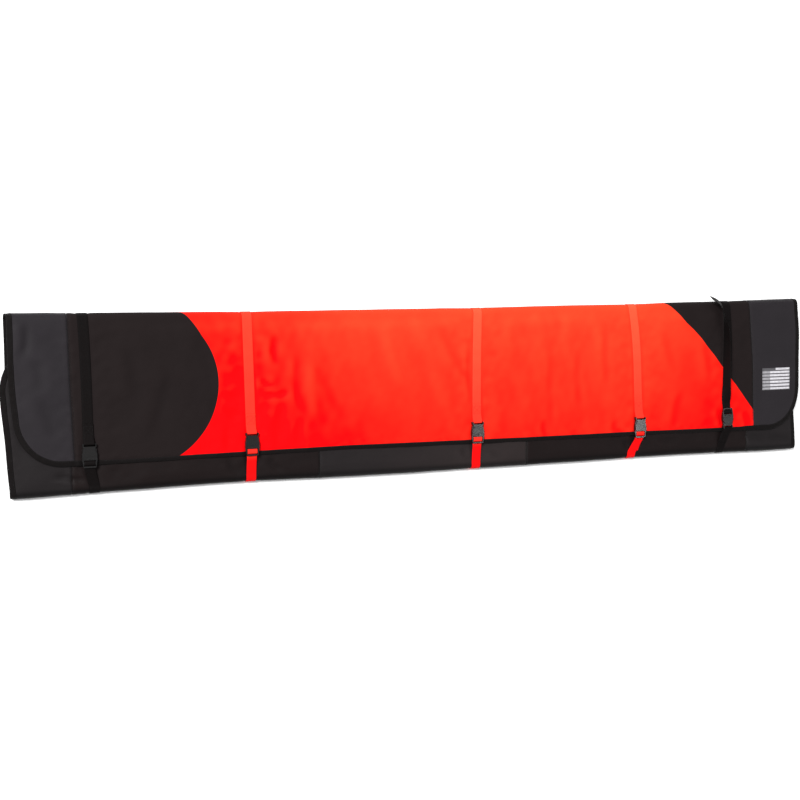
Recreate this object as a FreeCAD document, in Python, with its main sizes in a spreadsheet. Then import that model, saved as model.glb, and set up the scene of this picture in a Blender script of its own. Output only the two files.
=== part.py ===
"""Ski wrap: a long padded sheet that folds round the skis and is held shut by five buckled straps.

The wrap lies on its back. +X runs along its length, +Y points to the top fold, +Z is up.
The origin is the middle of the underside. All sizes are millimetres.
"""
import FreeCAD
import Part
import math
import os
import Sketcher
from FreeCAD import Placement, Rotation, Vector

DIMENSIONS = [
    ("bag_length", 2108, "end to end"),
    ("bag_width", 410, "top fold to bottom fold"),
    ("facing_thick", 2.4, "outer fabric with its laminate"),
    ("foam_thick", 2.6, "closed-cell foam"),
    ("lining_thick", 1.0, "smooth lining"),
    ("ski_space", 12, "room between the back panel and the inner flap"),
    ("flap_gap", 0.5, "between the two flaps"),
    ("hem_rise", 67, "bottom fold up to the hem of the outer flap"),
    ("inner_flap_short", 57, "free edge of the inner flap below the top fold"),
    ("inner_flap_skew", 20, "how far the free edge of the inner flap lies to the left"),
    ("flap_corner", 105, "corner radius of both flaps"),
    ("binding_width", 3.2, "edge tape round the flaps"),
    ("end_panel_left", 139, "laminated panel at the left end"),
    ("end_panel_right", 149, "laminated panel at the right end"),
    ("patch_left", 337, "middle patch of the inner flap, left of the centre"),
    ("patch_right", 217, "middle patch of the inner flap, right of the centre"),
    ("label_length", 89, "identity label"),
    ("label_height", 60, "identity label"),
    ("label_thick", 0.4, "identity label"),
    ("label_inset", 27, "identity label from the right end"),
    ("label_rise", 125, "identity label above the hem"),
    ("web_width", 25, "webbing"),
    ("web_thick", 1.5, "webbing"),
    ("web_clearance", 0.3, "round the webbing in its channels"),
    ("loop_stitch", 24, "length of the sewn lap above a loop"),
    ("ramp_run", 32, "webbing lifted off the padding beside a buckle"),
    ("buckle_lift", 0.4, "under the buckles"),
    ("buckle_thick", 9.4, "female half"),
    ("slot_play", 1.2, "slots of a buckle wider than the webbing"),
    ("mouth_flare", 7.4, "buckle at its mouth wider than its slots"),
    ("waist_tuck", 1.4, "buckle at its waist narrower than its slots"),
    ("ear_wall", 2.4, "ears beside the loop slot"),
    ("flare_taper", 1.1, "housing drawn in where its flare turns to the waist"),
    ("bend_round", 1.6, "bends of the housing outline"),
    ("rim_chamfer", 0.9, "rims of the housing"),
    ("ladder_round", 2.0, "corners of the ladder at its free end"),
    ("grip_chamfer", 0.6, "rims of the shoulder"),
    ("housing_length", 28.4, "female half"),
    ("ladder_length", 25.2, "male half outside the housing"),
    ("rail_wall", 0.7, "rails of the ladder at their free end"),
    ("ladder_thick", 5.0, "male half at its ladder"),
    ("ladder_first", 8.5, "mouth to the first slot of the ladder"),
    ("ladder_slot", 3.0, "both slots of the ladder"),
    ("ladder_bar", 7.2, "bar that the webbing turns over"),
    ("ladder_bar_thick", 2.4, "bar that the webbing turns over"),
    ("shoulder_thick", 8.6, "male half at its shoulder"),
    ("shoulder_length", 6.2, "male half at its shoulder"),
    ("loop_bar", 2.2, "diameter of the loop bar"),
    ("mouth_wall", 2.4, "housing beside its cavity"),
    ("cavity_height", 6.0, "inside the housing"),
    ("loop_wall", 8.4, "housing between its cavity and its free end"),
    ("loop_slot", 6.1, "loop slot and bar together"),
    ("window_start", 9.1, "mouth to the side windows"),
    ("prong_height", 5.4, "side prongs and their press pads"),
    ("prong_inset", 1.8, "arm of a prong from the cavity wall"),
    ("prong_width", 3.2, "arm of a prong at its root"),
    ("prong_play", 0.7, "prong lengthwise in the window and the cavity"),
    ("barb_reach", 1.2, "barb beyond the cavity wall"),
    ("tongue_width", 6.4, "guide between the prongs"),
    ("tongue_thick", 3.0, "guide between the prongs"),
    ("tongue_length", 18, "guide between the prongs"),
    ("tongue_nose", 3, "taper at the end of the guide"),
    ("barb_nose", 2.6, "slope at the tip of a prong"),
    ("barb_hook", 2.2, "lengthwise, under the barb of a prong"),
    ("barb_root", 2.0, "press pad of a prong thicker than its arm, on its inner side"),
    ("barb_draft", 0.3, "lengthwise slope of the barb of a prong, and across its press pad"),
    ("tip_width", 1.8, "flat tip of a prong"),
    ("tip_slant", 0.8, "flat tip of a prong, back on its inner side"),
    ("arm_taper", 0.2, "arm of a prong narrower at its barb than at its root"),
    ("arm_neck", 2.8, "lengthwise, end of the arm of a prong before its barb"),
    ("mate_gap", 0.2, "between the two buckle halves"),
    ("tail_length", 300, "loose end of strap 5"),
    ("tail_side", 4.6, "loose end from the edge of its strap"),
]

# Where the outline of the housing turns, from its mouth, as shares of its length.
FLARE_START, FLARE_BEND, WAIST_START, WAIST_END, EARS_START = 0.19, 0.34, 0.48, 0.65, 0.78

OVERLAP = 1  # how far a cut or an added lump reaches past the face where it starts
EIGHT_SIDED = 0.29  # corner cut of a square bar that leaves eight equal sides, as a share of its side
LADDER_FLARE = 1 / 3  # share of the ladder, from the mouth, that is as wide as the mouth
WRAP_GAP = 0.2  # webbing from a bar that it turns round
TINY = 0.01  # a length that counts as none

# The loose end of strap 5: share of its length, and how far to the right of its line it lies.
TAIL_ROUTE = [(0, 0), (0.35, -2), (0.7, 0), (0.89, 1), (1, -28)]
TAIL_LEAN = 77  # degrees from flat
TAIL_LIFT = 0.505  # middle of the loose end above the flap, as a share of its width

# Each strap: number, where it lies along the bag (measured from the left end, the centre or the
# right end), how far its top and foot lie to the right of the buckle, the height of the mouth of
# the buckle above the hem, and whether the female half is the upper one.
STRAPS = [
    (1, "left", 175, -5, 12, 22, True),
    (2, "centre", -505, -4, 0, 27, True),
    (3, "centre", 75, 7, 1, 24, True),
    (4, "centre", 546, -18, -20, 13, True),
    (5, "right", -234, 0, -13, 27.4, False),
]


class Size:
    """A length that carries both its value and the sheet formula that gives it."""

    def __init__(self, value, formula):
        self.value = value
        self.formula = formula

    def __add__(self, other):
        return combined(self, "+", other)

    def __sub__(self, other):
        return combined(self, "-", other)

    def __mul__(self, other):
        return combined(self, "*", other)

    def __truediv__(self, other):
        return combined(self, "/", other)

    def __neg__(self):
        return Size(-self.value, f"(0 - {self.formula})")


def as_size(value):
    """The size itself, or a plain number as a size."""
    if isinstance(value, Size):
        return value
    return Size(float(value), f"({float(value)})")


def combined(left, sign, right):
    """Two sizes joined by an arithmetic sign, in value and in formula."""
    a, b = as_size(left), as_size(right)
    results = {"+": a.value + b.value, "-": a.value - b.value, "*": a.value * b.value}
    value = a.value / b.value if sign == "/" else results[sign]
    return Size(value, f"({a.formula} {sign} {b.formula})")


class Sheet:
    """The spreadsheet of driving dimensions, with each one as an attribute of this object."""

    def __init__(self, document, rows):
        cells = document.addObject("Spreadsheet::Sheet", "Dims")
        for number, (alias, value, note) in enumerate(rows, 1):
            cells.set(f"A{number}", alias)
            cells.set(f"B{number}", str(value))
            cells.set(f"C{number}", note)
            cells.setAlias(f"B{number}", alias)
            setattr(self, alias, Size(float(value), f"Dims.{alias}"))


doc = FreeCAD.newDocument("SkiWrap")
dim = Sheet(doc, DIMENSIONS)
doc.recompute()

nodes = []

# Levels above the floor, from the underside up, and the two fold lines.
pad_thick = dim.facing_thick + dim.foam_thick + dim.lining_thick
inner_flap_low = pad_thick + dim.ski_space
inner_flap_top = inner_flap_low + pad_thick
outer_flap_low = inner_flap_top + dim.flap_gap
outer_flap_top = outer_flap_low + pad_thick
top_radius = outer_flap_top / 2
bottom_radius = inner_flap_top / 2
end_x = dim.bag_length / 2
top_edge = dim.bag_width / 2
top_line = top_edge - top_radius
bottom_line = bottom_radius - top_edge
hem = dim.hem_rise - top_edge
inner_edge = top_line - dim.inner_flap_short
left_seam = dim.end_panel_left - end_x
right_seam = end_x - dim.end_panel_right
buckle_middle = outer_flap_top + dim.buckle_lift + dim.buckle_thick / 2

# Widths of a buckle, all from the webbing that it takes, and places along it from its mouth.
slot_width = dim.web_width + dim.slot_play
mouth_width = slot_width + dim.mouth_flare
waist_width = slot_width - dim.waist_tuck
ear_width = slot_width + dim.ear_wall * 2
ladder_end_width = slot_width + dim.rail_wall * 2
cavity_width = mouth_width - dim.mouth_wall * 2
cavity_depth = dim.housing_length - dim.loop_wall
loop_bar_place = dim.housing_length - dim.loop_bar / 2
bar_start = dim.ladder_first + dim.ladder_slot
bar_stop = bar_start + dim.ladder_bar
ladder_last = bar_stop + dim.ladder_slot


# ---------------------------------------------------------------- general builders


def keep(thing, name):
    """Makes an object a node of the assembly under this name."""
    thing.Label = name
    nodes.append(thing)
    return thing


def bind(thing, **sizes):
    """Sets properties and binds each to its sheet formula; '_' in a key stands for '.'."""
    for key, size in sizes.items():
        thing.setExpression(key.replace("_", "."), as_size(size).formula)


def plane(body, role):
    """One of the origin planes of a body."""
    return next(item for item in body.Origin.OriginFeatures if item.Role == role)


def sketch(body, name, corners, role="XY_Plane"):
    """A closed polygon on an origin plane, each corner bound to the sheet."""
    drawn = body.newObject("Sketcher::SketchObject", name)
    drawn.AttachmentSupport = (plane(body, role), [""])
    drawn.MapMode = "FlatFace"
    sizes = [(as_size(x), as_size(y)) for x, y in corners]
    places = [Vector(x.value, y.value, 0) for x, y in sizes]
    count = len(places)
    for index in range(count):
        drawn.addGeometry(Part.LineSegment(places[index], places[(index + 1) % count]))
    for index in range(count):
        after = (index + 1) % count
        drawn.addConstraint(Sketcher.Constraint("Coincident", index, 2, after, 1))
    for index, (x, y) in enumerate(sizes):
        for kind, size in (("DistanceX", x), ("DistanceY", y)):
            rule = Sketcher.Constraint(kind, -1, 1, index, 1, size.value)
            number = drawn.addConstraint(rule)
            drawn.setExpression(f"Constraints[{number}]", size.formula)
    return drawn


def pad(body, name, corners, length, both_ways=False):
    """A pad of a polygon, upwards from its plane or the same way on both sides."""
    feature = body.newObject("PartDesign::Pad", name)
    feature.Profile = sketch(body, name + "Sketch", corners)
    feature.SideType = "Symmetric" if both_ways else "One side"
    bind(feature, Length=length)
    doc.recompute()
    return feature


def pocket(body, name, corners, length=None):
    """A pocket of a polygon, the same way on both sides of its plane, or through everything."""
    before = body.Shape.Volume
    feature = body.newObject("PartDesign::Pocket", name)
    feature.Profile = sketch(body, name + "Sketch", corners)
    feature.SideType = "Symmetric"
    if length is None:
        feature.Type = "ThroughAll"
    else:
        bind(feature, Length=length)
    doc.recompute()
    if not body.Shape.Volume < before:
        raise RuntimeError(f"{name} cuts nothing")
    return feature


def dress_edges(body, name, kind, picked, size):
    """A Fillet or Chamfer on the edges of a body's newest shape that a test picks."""
    base = body.Tip
    edges = [f"Edge{number}" for number, edge in enumerate(base.Shape.Edges, 1) if picked(edge)]
    if not edges:
        raise RuntimeError(f"{name} finds no edge")
    feature = body.newObject("PartDesign::" + kind, name)
    feature.Base = (base, edges)
    bind(feature, **{"Radius" if kind == "Fillet" else "Size": size})
    doc.recompute()
    return feature


def round_edges(body, name, picked, radius):
    """A fillet on the picked edges."""
    return dress_edges(body, name, "Fillet", picked, radius)


def upright(edge, corners):
    """Whether an edge stands upright on one of the given corners."""
    box = edge.BoundBox
    if box.ZLength < TINY or box.XLength > TINY or box.YLength > TINY:
        return False
    spots = [(as_size(x).value, as_size(y).value) for x, y in corners]
    return any(math.hypot(box.XMin - x, box.YMin - y) < TINY for x, y in spots)


def rectangle(left, right, low, high):
    """The corners of a rectangle, anticlockwise from its low left one."""
    return [(left, low), (right, low), (right, high), (left, high)]


def panel(name, corners, level, thick, rounded=()):
    """A flat panel of a padded sheet at a level, with some of its corners rounded."""
    body = doc.addObject("PartDesign::Body", name + "_body")
    pad(body, name + "Pad", corners, thick)
    for number, (corner, radius) in enumerate(rounded):
        round_edges(body, f"{name}Round{number}", lambda edge: upright(edge, [corner]), radius)
    bind(body, Placement_Base_z=level)
    return body


def drawn_shape(name, shape):
    """An object that holds a shape made by Part's own functions."""
    feature = doc.addObject("Part::Feature", name)
    feature.Shape = shape
    return feature


def carved(name, base, tools):
    """A base object with tool shapes taken out of it."""
    tool = drawn_shape(name + "_tool", Part.makeCompound(tools))
    cut = doc.addObject("Part::Cut", name + "_cut")
    cut.Base = base
    cut.Tool = tool
    return cut


# ---------------------------------------------------------------- webbing shapes


def band(points, width, thick, lean=0.0):
    """A flat band through points on the middle of its underside; each section stands at its Y."""
    across = Vector(width * math.cos(lean), 0, width * math.sin(lean))
    up = Vector(-thick * math.sin(lean), 0, thick * math.cos(lean))
    sections = []
    for point in points:
        low = Vector(*point) - across / 2
        sections.append([low, low + across, low + across + up, low + up])
    faces = [Part.Face(Part.makePolygon(ring + ring[:1])) for ring in (sections[0], sections[-1])]
    for near, far in zip(sections, sections[1:]):
        for side in range(4):
            after = (side + 1) % 4
            ring = [near[side], near[after], far[after], far[side], near[side]]
            faces.append(Part.Face(Part.makePolygon(ring)))
    solid = Part.makeSolid(Part.makeShell(faces))
    if solid.Volume < 0:
        solid.reverse()
    return solid


def half_ring(x, y, z, outer, inner, width, side):
    """Half of a ring round an axis along X, on the +Y or the -Y side of that axis."""
    start = Vector(x - width / 2, y, z)
    along = Vector(1, 0, 0)
    outside = Part.makeCylinder(outer, width, start, along)
    ring = outside.cut(Part.makeCylinder(inner, width, start, along))
    low = y if side > 0 else y - 2 * outer
    corner = Vector(x - width, low, z - 2 * outer)
    return ring.common(Part.makeBox(2 * width, 2 * outer, 4 * outer, corner))


def block(x, width, y_range, z_range):
    """A box centred on x along X, between two values of Y and two of Z in either order."""
    y_low, y_high = sorted(y_range)
    z_low, z_high = sorted(z_range)
    corner = Vector(x - width / 2, y_low, z_low)
    return Part.makeBox(width, y_high - y_low, z_high - z_low, corner)


def joined(shapes):
    """Several touching shapes as one clean solid."""
    return shapes[0].multiFuse(shapes[1:]).removeSplitter()


class Strap:
    """Where one strap runs, and the webbing of its stretches."""

    def __init__(self, row):
        number, datum, offset, top_shift, foot_shift, mouth_rise, female_up = row
        origins = {"left": -end_x.value, "centre": 0.0, "right": end_x.value}
        self.number = number
        self.buckle_x = origins[datum] + offset
        self.top_x = self.buckle_x + top_shift
        self.foot_x = self.buckle_x + foot_shift
        self.mouth_y = hem.value + mouth_rise
        self.female_up = female_up
        self.way = 1 if female_up else -1
        self.web = dim.web_thick.value
        self.width = dim.web_width.value
        self.room = dim.web_clearance.value
        self.middle = buckle_middle.value
        self.bar_inner = dim.loop_bar.value / 2 + WRAP_GAP
        self.bar_y = self.mouth_y + self.way * loop_bar_place.value
        self.loop_low = self.middle - self.bar_inner - self.web
        self.strand_low = self.middle - dim.ladder_thick.value / 2 - self.room - self.web

    def upper_path(self):
        """Underside of the upper webbing: along the channel, then up to the buckle."""
        flat = outer_flap_top.value - self.web
        end = [(self.buckle_x, self.bar_y, self.loop_low)]
        if not self.female_up:
            end = self.ladder_entry()[::-1]
        ramp_y = end[0][1] + dim.ramp_run.value
        return [(self.top_x, top_line.value, flat), (self.buckle_x, ramp_y, flat)] + end

    def lower_path(self):
        """Underside of the lower webbing: from the bottom fold up to the buckle."""
        foot = (self.foot_x, bottom_line.value, inner_flap_top.value - self.web)
        if self.female_up:
            return [foot] + self.ladder_entry()[::-1]
        bar = (self.buckle_x, self.bar_y, self.loop_low)
        half_way = tuple((low + high) / 2 for low, high in zip(foot, bar))
        return [foot, half_way, bar]

    def ladder_y(self, place):
        """Y of a place along the ladder, counted from the mouth."""
        return self.mouth_y - self.way * place

    def ladder_entry(self):
        """The strand that comes in under the end bar of the ladder."""
        inside = self.ladder_y(bar_stop.value + 2 * self.room)
        outside = self.ladder_y(dim.ladder_length.value + self.web)
        low = self.strand_low
        return [(self.buckle_x, inside, low), (self.buckle_x, outside, low)]

    def ladder_wrap(self):
        """The webbing over the bar of the ladder and down through both slots."""
        near = bar_start.value - 2 * self.room
        far = bar_stop.value + 2 * self.room
        near_side = (self.ladder_y(near), self.ladder_y(near - self.web))
        far_side = (self.ladder_y(far), self.ladder_y(far + self.web))
        top = self.middle + dim.ladder_bar_thick.value / 2 + WRAP_GAP
        tuck = self.middle - dim.ladder_bar_thick.value / 2 - self.room
        across = (near_side[1], far_side[1])
        over = block(self.buckle_x, self.width, across, (top, top + self.web))
        first = block(self.buckle_x, self.width, near_side, (top, tuck))
        second = block(self.buckle_x, self.width, far_side, (top, self.strand_low))
        return [over, first, second]

    def loop(self, strand):
        """The turn round the loop bar and the lap that is sewn down on the strand."""
        outer = self.bar_inner + self.web
        turn = half_ring(
            self.buckle_x, self.bar_y, self.middle, outer, self.bar_inner, self.width, -self.way
        )
        start, split = strand[-3], strand[-2]
        run = abs(start[1] - split[1])
        share = dim.loop_stitch.value / run
        stitched = tuple(near + share * (far - near) for near, far in zip(split, start))
        lap = [(x, y, z + self.web) for x, y, z in (split, stitched)]
        lap.insert(0, (self.buckle_x, self.bar_y, self.middle + self.bar_inner))
        return [turn, band(lap, self.width, self.web)]

    def upper_web(self):
        """Webbing on the front of the outer flap."""
        path = self.upper_path()
        extra = self.loop(path) if self.female_up else self.ladder_wrap()
        return joined([band(path, self.width, self.web)] + extra)

    def lower_web(self):
        """Webbing under the bag, round the bottom fold and up to the buckle."""
        path = self.lower_path()
        extra = self.ladder_wrap() if self.female_up else self.loop(path)
        under = [(self.foot_x, bottom_line.value, 0), (self.top_x, top_line.value, 0)]
        return joined(
            [band(under, self.width, self.web), self.bottom_turn(0), band(path, self.width, self.web)]
            + extra
        )

    def top_turn(self, room):
        """The half turn round the top fold, or with room the groove that holds it."""
        radius = top_radius.value
        inner = radius - self.web - room
        width = self.width + 2 * room
        outer = radius + (OVERLAP if room else 0)
        return half_ring(self.top_x, top_line.value, radius, outer, inner, width, 1)

    def bottom_turn(self, room):
        """The half turn round the bottom fold, or with room the groove that holds it."""
        radius = bottom_radius.value
        inner = radius - self.web - room
        width = self.width + 2 * room
        outer = radius + (OVERLAP if room else 0)
        return half_ring(self.foot_x, bottom_line.value, radius, outer, inner, width, -1)

    def channel(self, path):
        """The channel that a stretch of webbing presses into the padding above its path."""
        lowered = [(x, y, z - self.room) for x, y, z in path]
        return band(lowered, self.width + 2 * self.room, 2 * self.web)

    def under_channel(self):
        """The channel across the underside of the bag."""
        depth = self.web + self.room
        ends = [(self.foot_x, bottom_line.value), (self.top_x, top_line.value)]
        path = [(x, y, -OVERLAP) for x, y in ends]
        return band(path, self.width + 2 * self.room, depth + OVERLAP)


straps = [Strap(row) for row in STRAPS]


# ---------------------------------------------------------------- padded sheet


def padded_fold(name, radius, line, turn, grooves):
    """Half a tube of padding that joins a flap to the back panel."""
    shells = []
    for part_name, size in (("outside", radius), ("inside", radius - pad_thick)):
        shell = doc.addObject("Part::Cylinder", f"{name}_{part_name}")
        shell.Angle = 180
        shell.Placement = Placement(Vector(), turn)
        bind(shell, Radius=size, Height=dim.bag_length)
        bind(shell, Placement_Base_x=-end_x, Placement_Base_y=line, Placement_Base_z=radius)
        shells.append(shell)
    ring = doc.addObject("Part::Cut", name + "_ring")
    ring.Base, ring.Tool = shells
    keep(carved(name, ring, grooves), name)


def back_panel():
    """The panel that the skis lie on: laminated ends, fabric, foam and lining."""
    levels = [as_size(0), dim.facing_thick, dim.facing_thick + dim.foam_thick]
    spans = [
        ("back_end_left", -end_x, left_seam),
        ("back_facing", left_seam, right_seam),
        ("back_end_right", right_seam, end_x),
    ]
    for name, left, right in spans:
        blank = panel(name, rectangle(left, right, bottom_line, top_line), levels[0], dim.facing_thick)
        if name == "back_facing":
            blank = carved(name, blank, [strap.under_channel() for strap in straps])
        keep(blank, name)
    whole = rectangle(-end_x, end_x, bottom_line, top_line)
    keep(panel("back_foam", whole, levels[1], dim.foam_thick), "back_foam")
    keep(panel("back_lining", whole, levels[2], dim.lining_thick), "back_lining")


def flap(name, low, layers, line, edge, skew, spans, channels):
    """A flap of facing spans, foam and lining, with rounded free corners and an edge tape.

    line is the fold line, edge the free edge, and skew how far the free edge lies to the left.
    """
    tape = dim.binding_width
    down = 1 if edge.value < line.value else -1
    reach = edge + tape * down

    def slid(x, y):
        return x - skew * ((y - line) / (edge - line))

    def outline(left, right, border):
        corners = [(left, line), (slid(left, border), border), (slid(right, border), border)]
        return corners + [(right, line)]

    def free_corners(corners, radius):
        return [(corners[1], radius), (corners[2], radius)]

    outside = outline(-end_x, end_x, edge)
    inside = outline(tape - end_x, end_x - tape, reach)
    small = dim.flap_corner - tape

    binding = doc.addObject("PartDesign::Body", name + "_binding_body")
    pad(binding, name + "BindingPad", outside, pad_thick)
    for number, (corner, radius) in enumerate(free_corners(outside, dim.flap_corner)):
        title = f"{name}BindingRound{number}"
        round_edges(binding, title, lambda edge_: upright(edge_, [corner]), radius)
    bind(binding, Placement_Base_z=low)
    hollow = panel(name + "_hollow", inside, low, pad_thick, free_corners(inside, small))
    tape_ring = doc.addObject("Part::Cut", name + "_binding_ring")
    tape_ring.Base, tape_ring.Tool = binding, hollow
    keep(tape_ring, name + "_binding")

    level = low
    for layer, thick in layers:
        if layer == "facing":
            for span, left, right in spans:
                corners = outline(left or tape - end_x, right or end_x - tape, reach)
                rounded = free_corners(corners, small)
                picked = [rounded[0]] * (left is None) + [rounded[1]] * (right is None)
                blank = panel(span, corners, level, thick, picked)
                if channels and (span in channels):
                    blank = carved(span, blank, channels[span])
                keep(blank, span)
        else:
            sheet = panel(f"{name}_{layer}", inside, level, thick, free_corners(inside, small))
            keep(sheet, f"{name}_{layer}")
        level = level + thick


def inner_flap():
    """The flap that folds up from the bottom, over the skis."""
    layers = [
        ("lining", dim.lining_thick),
        ("foam", dim.foam_thick),
        ("facing", dim.facing_thick),
    ]
    spans = [
        ("inner_flap_end_left", None, left_seam),
        ("inner_flap_panel_left", left_seam, -dim.patch_left),
        ("inner_flap_patch", -dim.patch_left, dim.patch_right),
        ("inner_flap_panel_right", dim.patch_right, right_seam),
        ("inner_flap_end_right", right_seam, None),
    ]
    cuts = [strap.channel(strap.lower_path()) for strap in straps]
    channels = {name: cuts for name, left, right in spans if left and right}
    skew = dim.inner_flap_skew
    flap("inner_flap", inner_flap_low, layers, bottom_line, inner_edge, skew, spans, channels)


def outer_flap():
    """The flap that folds down from the top, over the inner one."""
    layers = [
        ("lining", dim.lining_thick),
        ("foam", dim.foam_thick),
        ("facing", dim.facing_thick),
    ]
    spans = [
        ("outer_flap_end_left", None, left_seam),
        ("outer_flap_print", left_seam, right_seam),
        ("outer_flap_end_right", right_seam, None),
    ]
    channels = {"outer_flap_print": [strap.channel(strap.upper_path()) for strap in straps]}
    flap("outer_flap", outer_flap_low, layers, top_line, hem, as_size(0), spans, channels)


def label():
    """The blank identity label near the right end."""
    right = end_x - dim.label_inset
    low = hem + dim.label_rise - dim.label_height / 2
    corners = rectangle(right - dim.label_length, right, low, low + dim.label_height)
    keep(panel("id_label", corners, outer_flap_top, dim.label_thick), "id_label")


# ---------------------------------------------------------------- buckles


def mirrored(half):
    """A closed outline from its right half, given from the bottom up."""
    return half + [(-as_size(x), y) for x, y in reversed(half)]


def place_buckle(body, strap):
    """Puts a buckle piece, drawn with its mouth on the X axis, where its strap needs it."""
    turn = Rotation(Vector(0, 0, 1), 0 if strap.female_up else 180)
    body.Placement = Placement(Vector(strap.buckle_x, strap.mouth_y, 0), turn)
    bind(body, Placement_Base_z=buckle_middle)


def female_half(strap):
    """The housing: a waisted shell with side windows for the prongs and a bar for the webbing."""
    name = f"buckle_{strap.number}_female"
    body = doc.addObject("PartDesign::Body", name + "_body")
    length = dim.housing_length
    half = [
        (mouth_width / 2, 0),
        (mouth_width / 2, length * FLARE_START),
        (mouth_width / 2 - dim.flare_taper, length * FLARE_BEND),
        (waist_width / 2, length * WAIST_START),
        (waist_width / 2, length * WAIST_END),
        (ear_width / 2, length * EARS_START),
        (ear_width / 2, length),
    ]
    outline = mirrored(half)
    pad(body, name + "Shell", outline, dim.buckle_thick, True)
    bends = half[2:] + [(-x, y) for x, y in half[2:]]
    round_edges(body, name + "Bends", lambda edge: upright(edge, bends), dim.bend_round)
    level = dim.buckle_thick.value / 2

    def on_rim(edge):
        box = edge.BoundBox
        return box.ZLength < TINY and abs(abs(box.ZMin) - level) < TINY and box.YMax > TINY

    dress_edges(body, name + "Rim", "Chamfer", on_rim, dim.rim_chamfer)
    cavity = rectangle(-cavity_width / 2, cavity_width / 2, -OVERLAP, cavity_depth)
    pocket(body, name + "Cavity", cavity, dim.cavity_height)
    window = rectangle(-mouth_width, mouth_width, dim.window_start, cavity_depth)
    pocket(body, name + "Windows", window, dim.cavity_height)
    notch_low = length - dim.loop_slot
    notch = rectangle(-slot_width / 2, slot_width / 2, notch_low, length + OVERLAP)
    pocket(body, name + "Notch", notch)
    reach = slot_width / 2 + OVERLAP
    pad(body, name + "Bar", rectangle(-reach, reach, length - dim.loop_bar, length), dim.loop_bar, True)

    def on_bar(edge):
        box = edge.BoundBox
        flat = box.YLength < TINY and box.ZLength < TINY
        across = abs(box.XLength - slot_width.value) < TINY
        return flat and across and box.YMin > notch_low.value + TINY

    dress_edges(body, name + "BarRound", "Chamfer", on_bar, dim.loop_bar * EIGHT_SIDED)
    place_buckle(body, strap)
    keep(body, name)


def male_half(strap):
    """The insert: shoulder, guide tongue and the two-slot ladder that locks the webbing."""
    name = f"buckle_{strap.number}_male"
    body = doc.addObject("PartDesign::Body", name + "_body")
    start = -dim.mate_gap
    end = -dim.ladder_length
    frame = [
        (ladder_end_width / 2, end),
        (mouth_width / 2, end * LADDER_FLARE),
        (mouth_width / 2, start),
    ]
    pad(body, name + "Frame", mirrored(frame), dim.ladder_thick, True)
    free_end = [(x, end) for x in (ladder_end_width / 2, -ladder_end_width / 2)]
    round_edges(body, name + "FreeEnd", lambda edge: upright(edge, free_end), dim.ladder_round)
    half_slot = slot_width / 2
    slots = rectangle(-half_slot, half_slot, -ladder_last, -dim.ladder_first)
    pocket(body, name + "Slots", slots)
    bar = rectangle(-half_slot - OVERLAP, half_slot + OVERLAP, -bar_stop, -bar_start)
    pad(body, name + "Bar", bar, dim.ladder_bar_thick, True)
    shoulder = rectangle(-mouth_width / 2, mouth_width / 2, start - dim.shoulder_length, start)
    pad(body, name + "Shoulder", shoulder, dim.shoulder_thick, True)
    level = dim.shoulder_thick.value / 2

    def on_shoulder(edge):
        box = edge.BoundBox
        flat = box.ZLength < TINY and abs(abs(box.ZMin) - level) < TINY
        return flat and box.YMin < start.value - TINY

    dress_edges(body, name + "ShoulderRim", "Chamfer", on_shoulder, dim.grip_chamfer)
    tip = dim.tongue_length
    tongue = [
        (dim.tongue_width / 2, start - OVERLAP),
        (dim.tongue_width / 2, tip - dim.tongue_nose),
        (dim.tongue_width / 4, tip),
    ]
    pad(body, name + "Tongue", mirrored(tongue), dim.tongue_thick, True)
    place_buckle(body, strap)
    keep(body, name)


def prong(strap, side):
    """One side prong: a sprung arm whose barbed pad stands in the window of the housing."""
    name = f"buckle_{strap.number}_prong_" + ("right" if side > 0 else "left")
    body = doc.addObject("PartDesign::Body", name + "_body")
    arm_out = cavity_width / 2 - dim.prong_inset
    arm_in = arm_out - dim.prong_width
    barb = dim.window_start + dim.prong_play
    tip = cavity_depth - dim.prong_play
    head_out = cavity_width / 2 + dim.barb_reach
    outline = [
        (arm_in, dim.mate_gap),
        (arm_out, dim.mate_gap),
        (arm_out, barb - dim.barb_draft),
        (head_out, barb),
        (head_out - dim.barb_draft, tip - dim.barb_nose),
        (head_out - dim.barb_nose, tip),
        (head_out - dim.barb_nose - dim.tip_width, tip - dim.tip_slant),
        (arm_out - dim.barb_root, barb + dim.barb_hook),
        (arm_in + dim.arm_taper, barb - dim.arm_neck),
    ]
    corners = [(x * side, y) for x, y in outline]
    pad(body, name + "Arm", corners if side > 0 else corners[::-1], dim.prong_height, True)
    place_buckle(body, strap)
    keep(body, name)


def strap_tail(strap):
    """The loose end of the reversed strap, on its edge beside the strap and past the top edge."""
    beside = strap.width / 2 + dim.tail_side.value
    level = outer_flap_top.value + strap.width * TAIL_LIFT
    start = strap.mouth_y + dim.ladder_length.value
    path = []
    for share, shift in TAIL_ROUTE:
        line = strap.buckle_x + share * (strap.top_x - strap.buckle_x)
        path.append((line - beside + shift, start + share * dim.tail_length.value, level))
    lean = math.radians(TAIL_LEAN)
    keep(drawn_shape("tail", band(path, strap.width, strap.web, lean)), "strap_5_tail")


def strap_pieces(strap):
    """The three stretches of webbing of a strap: under and up the front, round the top, down."""
    number = strap.number
    keep(drawn_shape(f"lower_{number}", strap.lower_web()), f"strap_{number}_lower_web")
    keep(drawn_shape(f"turn_{number}", strap.top_turn(0)), f"strap_{number}_fold_web")
    keep(drawn_shape(f"upper_{number}", strap.upper_web()), f"strap_{number}_upper_web")


# ---------------------------------------------------------------- assembly


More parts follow.
